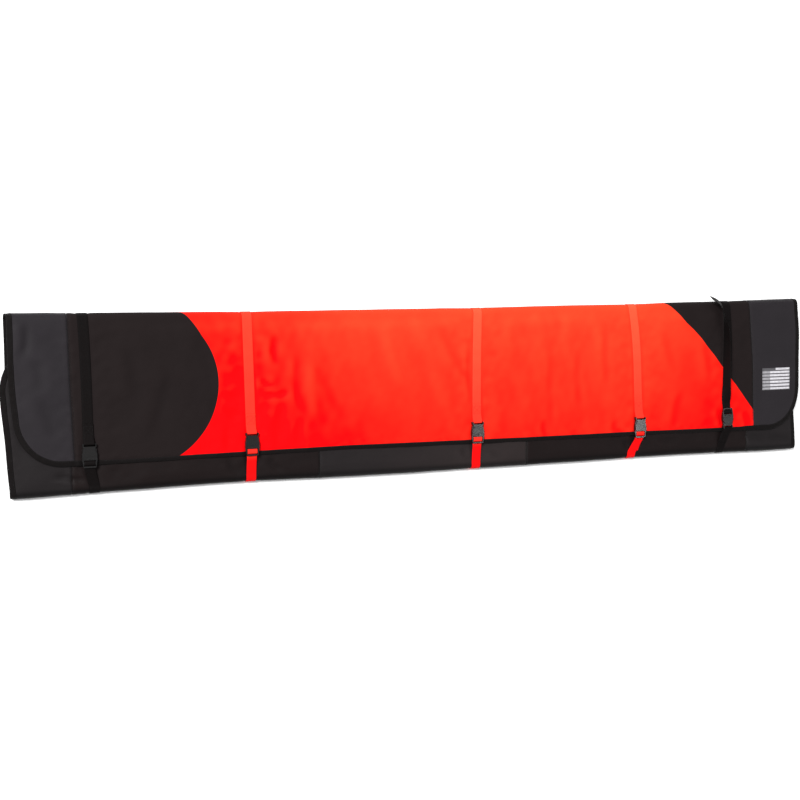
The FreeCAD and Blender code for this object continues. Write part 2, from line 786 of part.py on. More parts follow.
def build():
    """Makes every node of the wrap."""
    back_panel()
    quarter = Rotation(Vector(0, 1, 0), 90)
    half = Rotation(Vector(1, 0, 1), 180)
    top_grooves = [strap.top_turn(strap.room) for strap in straps]
    bottom_grooves = [strap.bottom_turn(strap.room) for strap in straps]
    padded_fold("bottom_fold", bottom_radius, bottom_line, half, bottom_grooves)
    inner_flap()
    padded_fold("top_fold", top_radius, top_line, quarter, top_grooves)
    outer_flap()
    label()
    for strap in straps:
        strap_pieces(strap)
        female_half(strap)
        male_half(strap)
        prong(strap, -1)
        prong(strap, 1)
    strap_tail(straps[-1])


def check():
    """Stops if any object failed or any node is not one valid closed solid."""
    doc.recompute()
    for thing in doc.Objects:
        if "Invalid" in thing.State or "Error" in thing.State:
            raise RuntimeError(f"{thing.Label} failed: {thing.State}")
    for node in nodes:
        shape = node.Shape
        if shape.isNull() or not shape.isValid() or len(shape.Solids) != 1:
            raise RuntimeError(f"{node.Label} is not one valid solid")


def export():
    """Writes one STEP file for each node."""
    os.makedirs("parts", exist_ok=True)
    for node in nodes:
        node.Shape.exportStep(os.path.join("parts", node.Label + ".step"))


build()
check()
export()
print(len(nodes), "nodes written")
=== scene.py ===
"""Ski wrap: its looks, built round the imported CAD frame. Metres, in the frame's own axes."""

import math
from functools import partialmethod

import bmesh
import bpy
import numpy as np
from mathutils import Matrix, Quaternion, Vector


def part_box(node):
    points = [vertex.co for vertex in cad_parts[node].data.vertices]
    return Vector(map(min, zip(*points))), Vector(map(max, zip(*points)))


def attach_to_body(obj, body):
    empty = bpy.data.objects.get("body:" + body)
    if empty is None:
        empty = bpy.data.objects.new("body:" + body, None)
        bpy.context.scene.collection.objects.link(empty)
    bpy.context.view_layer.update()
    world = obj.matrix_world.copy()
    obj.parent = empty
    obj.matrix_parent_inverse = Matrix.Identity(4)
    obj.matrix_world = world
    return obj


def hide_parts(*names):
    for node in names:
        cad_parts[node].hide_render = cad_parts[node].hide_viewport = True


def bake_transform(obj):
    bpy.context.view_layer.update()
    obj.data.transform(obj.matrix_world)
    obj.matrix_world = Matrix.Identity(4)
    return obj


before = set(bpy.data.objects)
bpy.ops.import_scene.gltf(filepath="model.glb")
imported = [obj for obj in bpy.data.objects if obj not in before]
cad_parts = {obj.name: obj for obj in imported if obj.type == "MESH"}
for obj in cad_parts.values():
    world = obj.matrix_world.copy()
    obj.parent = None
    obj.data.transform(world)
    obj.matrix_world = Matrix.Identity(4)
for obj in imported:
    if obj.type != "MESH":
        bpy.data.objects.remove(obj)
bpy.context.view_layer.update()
MM = 0.001


# ---- places, from the frame

def low(node):
    """Low corner of a CAD node's box."""
    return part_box(node)[0]


def high(node):
    """High corner of a CAD node's box."""
    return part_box(node)[1]


def node_points(node):
    return np.array([v.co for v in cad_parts[node].data.vertices], float)


FACING_RISE = 2.4 * MM  # how far the facing stands over its foam
CORNER = 105 * MM  # radius of the sheet's rounded corners
SKEW_SHARE = 1.65  # whole slant of the inner flap, over the part that its binding's box shows
BAR_RADIUS = 1.1 * MM
END_LEFT, END_RIGHT = low("back_end_left").x, high("back_end_right").x
SEAM_LEFT, SEAM_RIGHT = low("back_facing").x, high("back_facing").x
TOP_LINE, BOTTOM_LINE = high("back_lining").y, low("back_lining").y
PAD = high("back_lining").z
FOAM_LOW = -low("back_lining").z
FLAP_TOP = high("outer_flap_foam").z + FACING_RISE
INNER_TOP = high("inner_flap_foam").z + FACING_RISE
HEM, INNER_EDGE = low("outer_flap_binding").y, high("inner_flap_binding").y
INNER_SKEW = SKEW_SHARE * (END_LEFT - low("inner_flap_binding").x)
TOP_RADIUS, BOTTOM_RADIUS = FLAP_TOP / 2, INNER_TOP / 2
PATCH_LEFT, PATCH_RIGHT = high("inner_flap_panel_left").x, high("inner_flap_patch").x

# Arc length along the padded sheet: hem, fold, back panel, fold, free edge of the inner flap.
S_HEM, S_TOP = HEM, TOP_LINE
S_BACK = S_TOP + math.pi * TOP_RADIUS
S_FOOT = S_BACK + TOP_LINE - BOTTOM_LINE
S_INNER = S_FOOT + math.pi * BOTTOM_RADIUS
S_FREE = S_INNER + INNER_EDGE - BOTTOM_LINE

# How far the front of each strap bows to the right, in millimetres.
BOWS = {1: 1.5, 2: 0, 3: -1, 4: 5.5, 5: 6.5}


def middle_x(points):
    return (points[:, 0].min() + points[:, 0].max()) / 2


class Strap:
    """Where one strap and its buckle lie."""

    def __init__(self, number):
        female, male = f"buckle_{number}_female", f"buckle_{number}_male"
        self.number = number
        self.slot = "webbing_black" if number in (1, 5) else "webbing_red"
        self.up = low(female).y > low(male).y
        self.way, near, far = (1, low, high) if self.up else (-1, high, low)
        self.mouth, self.ladder_end = near(female).y, near(male).y
        self.bar = far(female).y - self.way * BAR_RADIUS
        self.x = (low(female).x + high(female).x) / 2
        self.z = (low(female).z + high(female).z) / 2
        self.top_x = middle_x(node_points(f"strap_{number}_fold_web"))
        web = node_points(f"strap_{number}_lower_web")
        self.foot_x = middle_x(web[web[:, 1] < BOTTOM_LINE - 2 * MM])

    def line(self, s):
        """X of the middle of the webbing at an arc length along the sheet."""
        below = S_INNER + self.mouth - BOTTOM_LINE
        stops = [S_HEM, self.mouth, S_TOP, S_BACK, S_FOOT, S_INNER, below]
        places = [self.x, self.x, self.top_x, self.top_x, self.foot_x, self.foot_x, self.x]
        share = np.clip((s - self.mouth) / (S_TOP - self.mouth), 0, 1)
        bow = BOWS[self.number] * MM * np.sin(math.pi * share**1.6) ** 0.8
        return np.interp(s, stops, places) + bow


straps = [Strap(n) for n in range(1, 6)]


# ---- the sheet's line and relief

def waves(x, y, seed, length, count=9, stretch=1.0):
    """Smooth irregular relief, about -1 to 1, from seeded waves of about one length."""
    rng = np.random.default_rng(seed)
    total = np.zeros(np.broadcast(x, y).shape)
    for _ in range(count):
        angle = rng.uniform(0, 2 * math.pi)
        k = 2 * math.pi / (length * rng.uniform(0.7, 1.5))
        total += np.cos(k * (x * math.cos(angle) + y * math.sin(angle) * stretch) + rng.uniform(0, 6.3))
    return total / math.sqrt(count * 2)


def step(a, b, value):
    """0 at a and 1 at b, smooth between."""
    t = np.clip((value - a) / (b - a), 0, 1)
    return t * t * (3 - 2 * t)


def plateau(a, b, c, d, value):
    """0 up to a and from d on, 1 from b to c, smooth between."""
    return step(a, b, value) * (1 - step(c, d, value))


def bell(distance, width):
    """1 at no distance, fading both ways."""
    return np.exp(-(distance / width) ** 2)


def settle(x, y, front):
    """How far the soft bag gives along Y: a slack top edge, an uneven bottom edge and hem."""
    slack = -8.5 * MM * (1 - np.abs(x / END_RIGHT) ** 2.4) * step(40 * MM, 190 * MM, y)
    foot = 6.5 * MM * bell(x + 600 * MM, 330 * MM) - 6 * MM * step(640 * MM, 1000 * MM, x)
    foot = foot * (1 - step(BOTTOM_LINE, -100 * MM, y)) * (1 - front)
    stops = [END_LEFT, -260 * MM, 200 * MM, 549 * MM, 904 * MM, END_RIGHT]
    hem = np.interp(x, stops, np.array([2, 3, -3.5, -6, -11, -12]) * MM)
    return slack + foot + hem * (1 - step(HEM, HEM + 170 * MM, y)) * front


def place(x, s, h):
    """Point on the folded sheet at x and arc length s, h outside its facing.

    The angles top and foot are how far the sheet has turned round each fold.
    """
    x, s, h = np.broadcast_arrays(np.asarray(x, float), s, h)
    top = np.clip((s - S_TOP) / TOP_RADIUS, 0, math.pi)
    foot = np.clip((s - S_FOOT) / BOTTOM_RADIUS, 0, math.pi)
    flat = np.minimum(s, S_TOP) - np.clip(s - S_BACK, 0, S_FOOT - S_BACK) + np.maximum(s - S_INNER, 0)
    y = flat + TOP_RADIUS * np.sin(top) - BOTTOM_RADIUS * np.sin(foot)
    z = TOP_RADIUS * (1 + np.cos(top)) + BOTTOM_RADIUS * (1 - np.cos(foot))
    y = y + np.sin(top + foot) * h + settle(x, y, s <= S_TOP)
    return np.stack([x, y, z + np.cos(top + foot) * h], -1)


def underside(s):
    """1 where the sheet lies on the floor, 0 on the front, smooth round the folds."""
    low_top, low_foot = S_TOP + 0.4 * (S_BACK - S_TOP), S_INNER - 0.4 * (S_INNER - S_FOOT)
    return plateau(low_top, S_BACK, S_FOOT, low_foot, s)


BED, BED_BELOW = -1.7 * MM, -1.65 * MM  # how far the straps press the front and the back in


def strap_bed(strap, s):
    """Height of the padding under a strap."""
    lively = 0.35 * MM * waves(0, s, 40 + strap.number, 90 * MM, 5)
    return np.where(underside(s) > 0.5, BED_BELOW, BED + lively * (1 - underside(s)))


def strap_press(x, s):
    """How far each point lies under a strap, from 0 to 1, and the height of that bed."""
    press, bed = np.zeros(np.broadcast(x, s).shape), np.zeros(np.broadcast(x, s).shape)
    for strap in straps:
        own = 1 - step(12 * MM, 20 * MM, np.abs(x - strap.line(s)))
        bed = np.where(own > press, strap_bed(strap, s), bed)
        press = np.maximum(press, own)
    return press, bed


SEAM_STOPS = [S_HEM, 40 * MM, S_TOP, S_BACK, S_FOOT, S_INNER, S_FREE]


def seam_at(seam_x, lean=(0, 0, 0, 0, 0, 0, 0)):
    """The X of a seam at an arc length; at each stop it lies some mm right of its place."""
    return lambda s: seam_x + np.interp(s, SEAM_STOPS, lean) * MM


seam_left = seam_at(SEAM_LEFT, (5, 0, -2, -2, -2, -2, -2))
seam_right = seam_at(SEAM_RIGHT, (5, 1, -10, -11, -12, -13, -5))
patch_left, patch_right = seam_at(PATCH_LEFT), seam_at(PATCH_RIGHT)
SEAMS, INNER_SEAMS = (seam_left, seam_right), (patch_left, patch_right)


def nearest(lines, x, s):
    """Distance from the nearest of some lines along the sheet."""
    return np.min([np.abs(x - line(s)) for line in lines], axis=0)


def nearest_strap(x, s):
    return nearest([strap.line for strap in straps], x, s)


def edge_gap(x, s):
    """Distance from the nearest cut edge of the sheet."""
    left, right = borders(s)
    gap = np.minimum(x - left, right - x)
    return np.minimum(gap, np.minimum(s - S_HEM, S_FREE - s))


def borders(s):
    """X of the two ends of the sheet at an arc length."""
    s = np.asarray(s, float)
    wander = 1.2 * MM * waves(0, s, 7, 160 * MM, 5)
    front = s < S_TOP + 20 * MM
    left = END_LEFT + wander + 4 * MM
    left = left + front * (4 * MM + 7 * MM * (1 - step(-60 * MM, 60 * MM, s)))
    right = END_RIGHT - 1.0 * MM * waves(0, s, 8, 170 * MM, 5)
    right = right + front * (5.5 * MM * (1 - step(110 * MM, S_TOP, s)) + 0.5 * MM)
    slide = INNER_SKEW * np.clip((s - S_INNER) / (S_FREE - S_INNER), 0, 1)
    left, right = left - slide, right - slide
    for edge, sign in ((S_HEM, 1), (S_FREE, -1)):
        inside = np.clip((s - edge) * sign, 0, CORNER)
        cut = CORNER - np.sqrt(np.maximum(CORNER ** 2 - (CORNER - inside) ** 2, 0))
        left, right = left + cut, right - cut
    return left, right


def seam_gap(x, s):
    """Distance from the nearest sewn seam."""
    gap = nearest(SEAMS, x, s)
    return np.where(s > S_FOOT, np.minimum(gap, nearest(INNER_SEAMS, x, s)), gap)


# Soft creases in the padding: strap it lies by (0 for the left end), two ends as millimetres
# right of that strap and above the middle of the bag, half width and depth.
CREASES = [
    (2, 58, 146, 62, 84, 9, 2.4), (2, 40, 0, 88, 8, 7, 1.6), (2, 110, 80, 116, -20, 9, 1.2),
    (2, 146, 115, 150, -45, 14, -1.5), (2, 72, -30, 64, -112, 11, 1.4), (2, 120, -60, 116, -120, 10, 1.1),
    (2, -60, -70, -54, -120, 9, 1.2), (2, -66, 10, -26, -4, 7, 1.4), (2, -62, -30, -26, -46, 7, 1.3),
    (2, 26, 36, 54, 26, 6, 1.1), (2, 412, 190, 500, -50, 20, -1.1), (2, 165, 60, 225, -50, 13, 0.8),
    (2, 332, 150, 374, 20, 16, -1), (3, 209, 64, 209, -84, 10, 1), (3, 289, 76, 290, -54, 10, 1),
    (3, 371, 150, 371, -8, 11, 1.2), (3, 187, -92, 192, -130, 7, 1.5), (3, -19, 100, -17, -30, 6, 1.2),
    (3, 397, -100, 400, -132, 9, 1.6), (3, -43, 60, -21, 20, 9, 1), (3, -87, 150, -51, 60, 14, 1),
    (4, 79, 120, 105, 20, 13, 0.8), (4, -62, -118, -50, -134, 7, 1.5), (4, 129, -40, 99, -120, 12, 1.3),
    (5, 62, -92, 68, -130, 9, 1.9), (5, -24, -84, -18, -122, 8, 1.4), (5, -68, 90, -56, 0, 12, 1.1),
    (1, 90, 120, 112, 10, 16, 1.1), (1, 180, 60, 150, -70, 15, 1), (0, 46, 176, 45, 118, 9, 1.8),
    (0, 64, 96, 78, 40, 13, 1), (0, 74, 10, 102, -70, 16, 1.2),
]
INNER_CREASES = [
    (1, -72, -164, -16, -170, 5, 2.4), (2, -58, -150, -28, -186, 8, 1.4), (2, 42, -156, 72, -180, 8, 1.2),
    (3, -37, -150, -15, -188, 8, 1.3), (3, 39, -158, 69, -184, 8, 1.2), (4, -41, -156, -17, -188, 8, 1.5),
    (4, 69, -160, 119, -170, 8, 1.3), (5, 62, -160, 132, -176, 9, 1.8), (5, 152, -168, 216, -182, 9, 2.2),
]


def crease(x, s, row, base):
    """One soft valley with a low ridge beside it, fading out at both ends."""
    number, x0, y0, x1, y1, half, depth = row
    origin = straps[number - 1].x if number else END_LEFT
    start = np.array([origin + x0 * MM, base + y0 * MM])
    run = np.array([(x1 - x0) * MM, (y1 - y0) * MM])
    length = np.hypot(*run)
    run /= length
    along = (x - start[0]) * run[0] + (s - start[1]) * run[1]
    bend = 2.5 * MM * np.sin(along / length * 4.0 + number)
    across = (x - start[0]) * run[1] - (s - start[1]) * run[0] + bend
    fade = plateau(-0.25, 0.25, 0.75, 1.25, along / length)
    half = half * MM
    return -1.9 * depth * MM * fade * (bell(across, half) - 0.45 * bell(across - 1.9 * half, 1.3 * half))


def creases(x, s):
    """All the soft creases of the two flaps."""
    total = np.zeros(np.broadcast(x, s).shape)
    for row in CREASES:
        total += crease(x, s, row, 0.0) * (s < S_TOP + 10 * MM)
    for row in INNER_CREASES:
        total += crease(x, s, row, S_INNER - BOTTOM_LINE) * (s > S_FOOT)
    return total


SIM_PITCH, SIM_FRAMES = 15 * MM, 25
HELD_BY_SEAM, HELD_BY_STRAP = 0.55 * SIM_PITCH, 13 * MM
SIM_SETTINGS = {
    "quality": 5, "mass": 0.15, "air_damping": 4,
    "tension_stiffness": 15, "compression_stiffness": 15, "shear_stiffness": 4.5, "bending_stiffness": 20,
    "tension_damping": 15, "compression_damping": 15, "bending_damping": 2,
    "vertex_group_mass": "held", "use_pressure": True, "uniform_pressure_force": 0.4,
}


def blur(field, rounds):
    """Field smoothed by averaging with its neighbours."""
    for _ in range(rounds):
        wide = np.pad(field, 1, mode="edge")
        field = (wide[:-2, 1:-1] + wide[2:, 1:-1] + wide[1:-1, :-2] + wide[1:-1, 2:] + 4 * field) / 8
    return field


def slack_cloth(points, faces, held):
    """A cloth with more width than its span, held at some points and under a light pressure."""
    piece = new_mesh("facing_simulation", points, faces)
    piece.shape_key_add(name="Basis")
    slack = piece.shape_key_add(name="slack")
    slack.data.foreach_set("co", (points * np.array([1.004, 1.0, 0.0])).ravel().astype(np.float32))
    slack.value = 0
    group = piece.vertex_groups.new(name="held")
    group.add([int(k) for k in np.flatnonzero(held)], 1.0, "REPLACE")
    modifier = piece.modifiers.new("cloth", "CLOTH")
    for key, value in SIM_SETTINGS.items():
        setattr(modifier.settings, key, value)
    modifier.settings.rest_shape_key = slack
    modifier.settings.effector_weights.gravity = 0
    modifier.point_cache.frame_start, modifier.point_cache.frame_end = 1, SIM_FRAMES
    return piece


def settled_heights(piece):
    """Runs the cloth to its last frame, removes it and gives the heights of its points."""
    for number in range(1, SIM_FRAMES + 1):
        bpy.context.scene.frame_set(number)
    settled = piece.evaluated_get(bpy.context.evaluated_depsgraph_get())
    found = np.zeros(len(settled.data.vertices) * 3, np.float32)
    settled.data.vertices.foreach_get("co", found)
    bpy.data.objects.remove(piece)
    bpy.context.scene.frame_set(1)
    return found[2::3].astype(float)


def simulate_sheet():
    """Cloth simulation of the facing laid flat: held at seams, edges and straps, slack between."""
    xs = np.linspace(END_LEFT, END_RIGHT, int((END_RIGHT - END_LEFT) / SIM_PITCH) + 1)
    ss = np.linspace(S_HEM, S_FREE, int((S_FREE - S_HEM) / SIM_PITCH) + 1)
    x, s = np.meshgrid(xs, ss, indexing="ij")
    held = (nearest(SEAMS, x, s) < HELD_BY_SEAM) | (nearest_strap(x, s) < HELD_BY_STRAP)
    held[0] = held[-1] = held[:, 0] = held[:, -1] = True
    start = np.where(held, 0, 1.2 * MM * waves(x, s, 3, 90 * MM))
    points = np.stack([x, s, start], -1).reshape(-1, 3)
    piece = slack_cloth(points, grid_faces(*x.shape), held.ravel())
    rise = blur(settled_heights(piece).reshape(x.shape), 4)
    broad = blur(rise, 40)
    capped = 3.4 * MM * np.tanh(broad / (7 * MM)) + 2.3 * MM * np.tanh((rise - broad) / (1.6 * MM))
    fine = blur(np.repeat(np.repeat(capped, 3, axis=0), 3, axis=1), 14)
    return thirds(xs), thirds(ss), fine


def thirds(marks):
    """Three marks for each one, evenly apart, the middle one in its place."""
    third = (marks[1] - marks[0]) / 3
    return (marks[:, None] + third * np.array([-1, 0, 1])).ravel()


relief = None


def simulated(x, s):
    """Height of the simulated facing at a point, between the points of its grid."""
    if relief is None:
        return 0.9 * MM * waves(x, s, 3, 190 * MM) + 0.5 * MM * waves(x, s, 4, 70 * MM)
    xs, ss, heights = relief
    i = np.clip((x - xs[0]) / (xs[1] - xs[0]), 0, len(xs) - 1.001)
    j = np.clip((s - ss[0]) / (ss[1] - ss[0]), 0, len(ss) - 1.001)
    i0, j0 = i.astype(int), j.astype(int)
    fi, fj = i - i0, j - j0
    a = heights[i0, j0] * (1 - fi) + heights[i0 + 1, j0] * fi
    b = heights[i0, j0 + 1] * (1 - fi) + heights[i0 + 1, j0 + 1] * fi
    return a * (1 - fj) + b * fj


def height(x, s):
    """Height of the facing over its flat place: wrinkles, seams, strap beds and puckers."""
    x, s = np.broadcast_arrays(np.asarray(x, float), np.asarray(s, float))
    seam, edge, strap = seam_gap(x, s), edge_gap(x, s), nearest_strap(x, s)
    free = simulated(x, s) + creases(x, s)
    free = free + 0.55 * MM * waves(x, s, 5, 34 * MM) * (0.35 + bell(strap - 20 * MM, 45 * MM))
    slack = bell(x + 470 * MM, 200 * MM) + 0.6 * bell(x - 320 * MM, 190 * MM)
    slack = (slack + 0.3 * bell(x - 20 * MM, 200 * MM)) * (s < S_TOP + 10 * MM)
    free = free + 1.5 * MM * slack * waves(x, s, 51, 80 * MM, 9, 0.35)
    free = free + 0.8 * MM * slack * waves(x, s, 52, 36 * MM, 9, 0.55)
    puckered = bell(seam, 11 * MM) + bell(edge - 12 * MM, 14 * MM)
    free = free + 0.45 * MM * waves(x, s, 6, 17 * MM) * puckered
    fold = plateau(S_TOP - 25 * MM, S_TOP + 8 * MM, S_INNER - 8 * MM, S_INNER + 25 * MM, s)
    free = free * (1 - 0.75 * fold) - 0.6 * MM * fold
    press, bed = strap_press(x, s)
    out = free * (1 - press) + bed * press
    out = out - 0.6 * MM * bell(seam, 1.8 * MM) + 0.4 * MM * bell(seam - 6 * MM, 4 * MM)
    out = out - 1.3 * MM * (1 - step(5 * MM, 15 * MM, edge))
    floor = underside(s)
    return np.where(floor > 0, out * (1 - floor) + np.minimum(out - 0.6 * MM, 0) * floor, out)


def hem_lift(x, s):
    """How far the flap's hem stands off between the straps, both faces alike."""
    between = step(40 * MM, 150 * MM, nearest_strap(x, s))
    near = 1 - step(S_HEM, S_HEM + 110 * MM, s)
    ripple = 0.75 + 0.35 * waves(x, 0 * s, 12, 260 * MM, 5)
    return 2.6 * MM * between * near * near * ripple


# ---- mesh helpers

def new_mesh(name, verts, faces):
    mesh = bpy.data.meshes.new(name)
    mesh.from_pydata([tuple(v) for v in np.asarray(verts, float)], [], [tuple(f) for f in faces])
    mesh.update()
    mesh.shade_smooth()
    piece = bpy.data.objects.new(name, mesh)
    bpy.context.scene.collection.objects.link(piece)
    return piece


def give_uv(piece, uv, name="cloth"):
    """A UV map, one pair for each vertex: the cloth's own places in metres, or its relief."""
    layer = piece.data.uv_layers.new(name=name)
    index = np.zeros(len(piece.data.loops), int)
    piece.data.loops.foreach_get("vertex_index", index)
    layer.data.foreach_set("uv", np.asarray(uv, np.float32)[index].ravel())


def grid_faces(nu, nv, first=0, flip=False):
    i, j = np.meshgrid(np.arange(nu - 1), np.arange(nv - 1), indexing="ij")
    a = first + i * nv + j
    quads = np.stack([a, a + nv, a + nv + 1, a + 1], -1).reshape(-1, 4)
    return quads[:, ::-1] if flip else quads


def unit(v):
    return v / np.linalg.norm(v, axis=-1, keepdims=True)


def run_of(points):
    """Length along a line of points, from its start to each of them."""
    return np.r_[0, np.cumsum(np.linalg.norm(np.diff(points, axis=0), axis=1))]


def at_marks(points, run, marks):
    """Every column of a line's points, at marks along its run."""
    return np.stack([np.interp(marks, run, column) for column in points.T], -1)


def resample(points, pitch):
    """Points an even pitch apart along a line, with whatever else its columns hold."""
    run = run_of(points[:, :3])
    return at_marks(points, run, np.arange(pitch / 2, run[-1], pitch))


def facing_out(piece):
    """Turns a closed piece's faces outwards."""
    mesh = bmesh.new()
    mesh.from_mesh(piece.data)
    bmesh.ops.recalc_face_normals(mesh, faces=mesh.faces)
    mesh.to_mesh(piece.data)
    mesh.free()
    piece.data.update()
    return piece


def strip(name, rails, uv):
    """A closed strip: rails of points round its cross section, with capped ends."""
    verts = np.stack(rails)
    rail_count, count = verts.shape[:2]
    i = np.arange(count - 1)
    firsts = [(r * count + i, (r + 1) % rail_count * count + i) for r in range(rail_count)]
    quads = [np.stack([a, a + 1, b + 1, b], -1) for a, b in firsts]
    faces = [tuple(f) for f in np.concatenate(quads)]
    faces.append(tuple(r * count for r in range(rail_count)))
    faces.append(tuple(r * count + count - 1 for r in reversed(range(rail_count))))
    piece = new_mesh(name, verts.reshape(-1, 3), faces)
    give_uv(piece, np.concatenate(uv))
    return facing_out(piece)


PITCH = 6 * MM
RIDGE_HEIGHT = 2.2 * MM
RIM = 1.5 * MM  # the padding ends this far inside the cut edge


def slab(name, x, s, outer, inner):
    """A closed padded panel between two heights over a grid of places (x, s)."""
    nu, nv = x.shape
    top, bottom = place(x, s, outer), place(x, s, inner)
    verts = np.concatenate([top.reshape(-1, 3), bottom.reshape(-1, 3)])
    count = nu * nv
    faces = [grid_faces(nu, nv), grid_faces(nu, nv, count, True)]
    index = np.arange(count).reshape(nu, nv)
    ring = np.concatenate([index[:, 0], index[-1, 1:], index[-2::-1, -1], index[0, -2:0:-1]])
    after = np.roll(ring, -1)
    faces.append(np.stack([after, ring, ring + count, after + count], -1))
    piece = new_mesh(name, verts, np.concatenate(faces))
    uv = np.stack([x.ravel(), np.broadcast_to(s, x.shape).ravel()], -1)
    give_uv(piece, np.concatenate([uv, uv]))
    ridge = 0.5 + 0.5 * np.tanh((outer - blur(outer, 40)) / RIDGE_HEIGHT)
    ridge = np.stack([ridge.ravel(), ridge.ravel()], -1)
    give_uv(piece, np.concatenate([ridge, ridge]), "relief")
    return piece


def rows(start, stop):
    """Arc lengths from start to stop, closer together at a rounded free edge."""
    marks = list(np.linspace(start, stop, max(2, int(round((stop - start) / PITCH)) + 1)))
    for edge, sign in ((S_HEM, 1), (S_FREE, -1)):
        lowest = min(abs(start - edge), abs(stop - edge))
        if lowest < 20 * MM:
            marks = [m for m in marks if (m - edge) * sign > CORNER]
            angles = np.linspace(math.acos(1 - lowest / CORNER), math.pi / 2, 22)
            marks += [edge + sign * CORNER * (1 - math.cos(a)) for a in angles]
    return np.array(sorted(marks))


def section(name, left, right, start, stop, lift=None, lining=False):
    """A padded section of the sheet between two seams (None is its own end), or its thin lining."""
    s = rows(start, stop)
    ends = borders(s)
    a = ends[0] + RIM if left is None else left(s)
    b = ends[1] - RIM if right is None else right(s)
    across = max(8, int(round(float(np.max(b - a)) / PITCH)))
    u = np.linspace(0, 1, across + 1)[:, None]
    x = a[None, :] + u * (b - a)[None, :]
    s = np.broadcast_to(s, x.shape)
    raised = lift(x, s) if lift else 0.0
    squeeze = 1.1 * MM * (1 - step(5 * MM, 14 * MM, edge_gap(x, s)))
    upper, lower = (FOAM_LOW - 0.15 * MM, -PAD) if lining else (height(x, s), FOAM_LOW)
    return slab(name, x, s, upper + raised + 0 * x, lower + raised + squeeze)


# ---- materials

class Graph:
    """A material's node tree, with short ways to add nodes."""

    def __init__(self, name, specular, sheen=0.0, sheen_rough=0.5):
        self.material = bpy.data.materials.new(name)
        self.material.use_nodes = True
        self.tree = self.material.node_tree
        self.shader = self.tree.nodes["Principled BSDF"]
        self.shader.inputs["Specular IOR Level"].default_value = specular
        self.shader.inputs["Sheen Weight"].default_value = sheen
        self.shader.inputs["Sheen Roughness"].default_value = sheen_rough
        self.uv = self.node("ShaderNodeUVMap", {}, "UV", uv_map="cloth")

    def feed(self, socket, value):
        if isinstance(value, bpy.types.NodeSocket):
            self.tree.links.new(value, socket)
        else:
            socket.default_value = value

    def node(self, kind, inputs, output=0, **settings):
        """A new node with its inputs fed, by name or by number, as the output asked for."""
        made = self.tree.nodes.new(kind)
        for key, value in settings.items():
            setattr(made, key, value)
        for key, value in inputs.items():
            self.feed(made.inputs[key], value)
        return made.outputs[output]

    def math(self, operation, *values):
        return self.node("ShaderNodeMath", dict(enumerate(values)), operation=operation)

    add = partialmethod(math, "ADD")
    sub = partialmethod(math, "SUBTRACT")
    mul = partialmethod(math, "MULTIPLY")
    mad = partialmethod(math, "MULTIPLY_ADD")  # the first times the second, plus the third
    most = partialmethod(math, "MAXIMUM")
    over = partialmethod(math, "GREATER_THAN")
    size = partialmethod(math, "ABSOLUTE")

    def thread(self, value, pitch):
        """Sine of a place in the cloth, one half turn for each thread."""
        return self.math("SINE", self.mul(value, math.pi / pitch))

    def vary(self, light, source, amount):
        """A light made brighter and darker by a source from 0 to 1."""
        return self.mad(self.sub(source, 0.5), amount, light)

    def split(self, vector):
        return tuple(self.node("ShaderNodeSeparateXYZ", {0: vector}).node.outputs)

    def place(self):
        """The row frame's own place of the shaded point."""
        return self.node("ShaderNodeTexCoord", {}, "Object")

    def noise(self, vector, scale, detail=3.0, rough=0.5):
        inputs = {"Vector": vector, "Scale": scale, "Detail": detail, "Roughness": rough}
        return self.node("ShaderNodeTexNoise", inputs, "Fac")

    def remap(self, value, a, b, c=0.0, d=1.0, kind="LINEAR"):
        inputs = {"Value": value, "From Min": a, "From Max": b, "To Min": c, "To Max": d}
        return self.node("ShaderNodeMapRange", inputs, "Result", interpolation_type=kind)

    def ease(self, value, a, b, c=0.0, d=1.0):
        return self.remap(value, a, b, c, d, "SMOOTHSTEP")

    def mix(self, factor, a, b, blend="MIX"):
        return self.node("ShaderNodeMix", {0: factor, 6: a, 7: b}, 2, data_type="RGBA", blend_type=blend)

    def dimmed(self, color, light):
        """A colour times a grey light."""
        tone = self.node("ShaderNodeCombineXYZ", {0: light, 1: light, 2: light})
        return self.mix(1.0, color, tone, "MULTIPLY")

    def bump(self, height, strength, distance, **more):
        inputs = {"Strength": strength, "Distance": distance, "Height": height, **more}
        return self.node("ShaderNodeBump", inputs)

    def weave(self, pitch, share=0.92):
        """Plain weave: threads over and under each other, 0 to 1."""
        u, v, _ = self.split(self.uv)
        warp, weft = self.thread(u, pitch), self.thread(v, pitch * share)
        over = self.over(self.mul(warp, weft), 0.0)
        warp = self.mul(over, self.mad(self.size(warp), 0.75, 0.25))
        weft = self.mul(self.sub(1.0, over), self.mad(self.size(weft), 0.6, 0.1))
        return self.add(warp, weft)

    def finish(self, color, rough, normal=None):
        for key, value in (("Base Color", color), ("Roughness", rough), ("Normal", normal)):
            if value is not None:
                self.feed(self.shader.inputs[key], value)
        return self.material


def shade(*rgb):
    """A colour from its 0 to 255 values as seen."""
    linear = [(c / 255 / 12.92) if c <= 10 else ((c / 255 + 0.055) / 1.055) ** 2.4 for c in rgb]
    return (*linear, 1.0)


def ridges(g):
    """0 in the valleys and 1 on the ridges of the padding."""
    return g.split(g.node("ShaderNodeUVMap", {}, "UV", uv_map="relief"))[0]


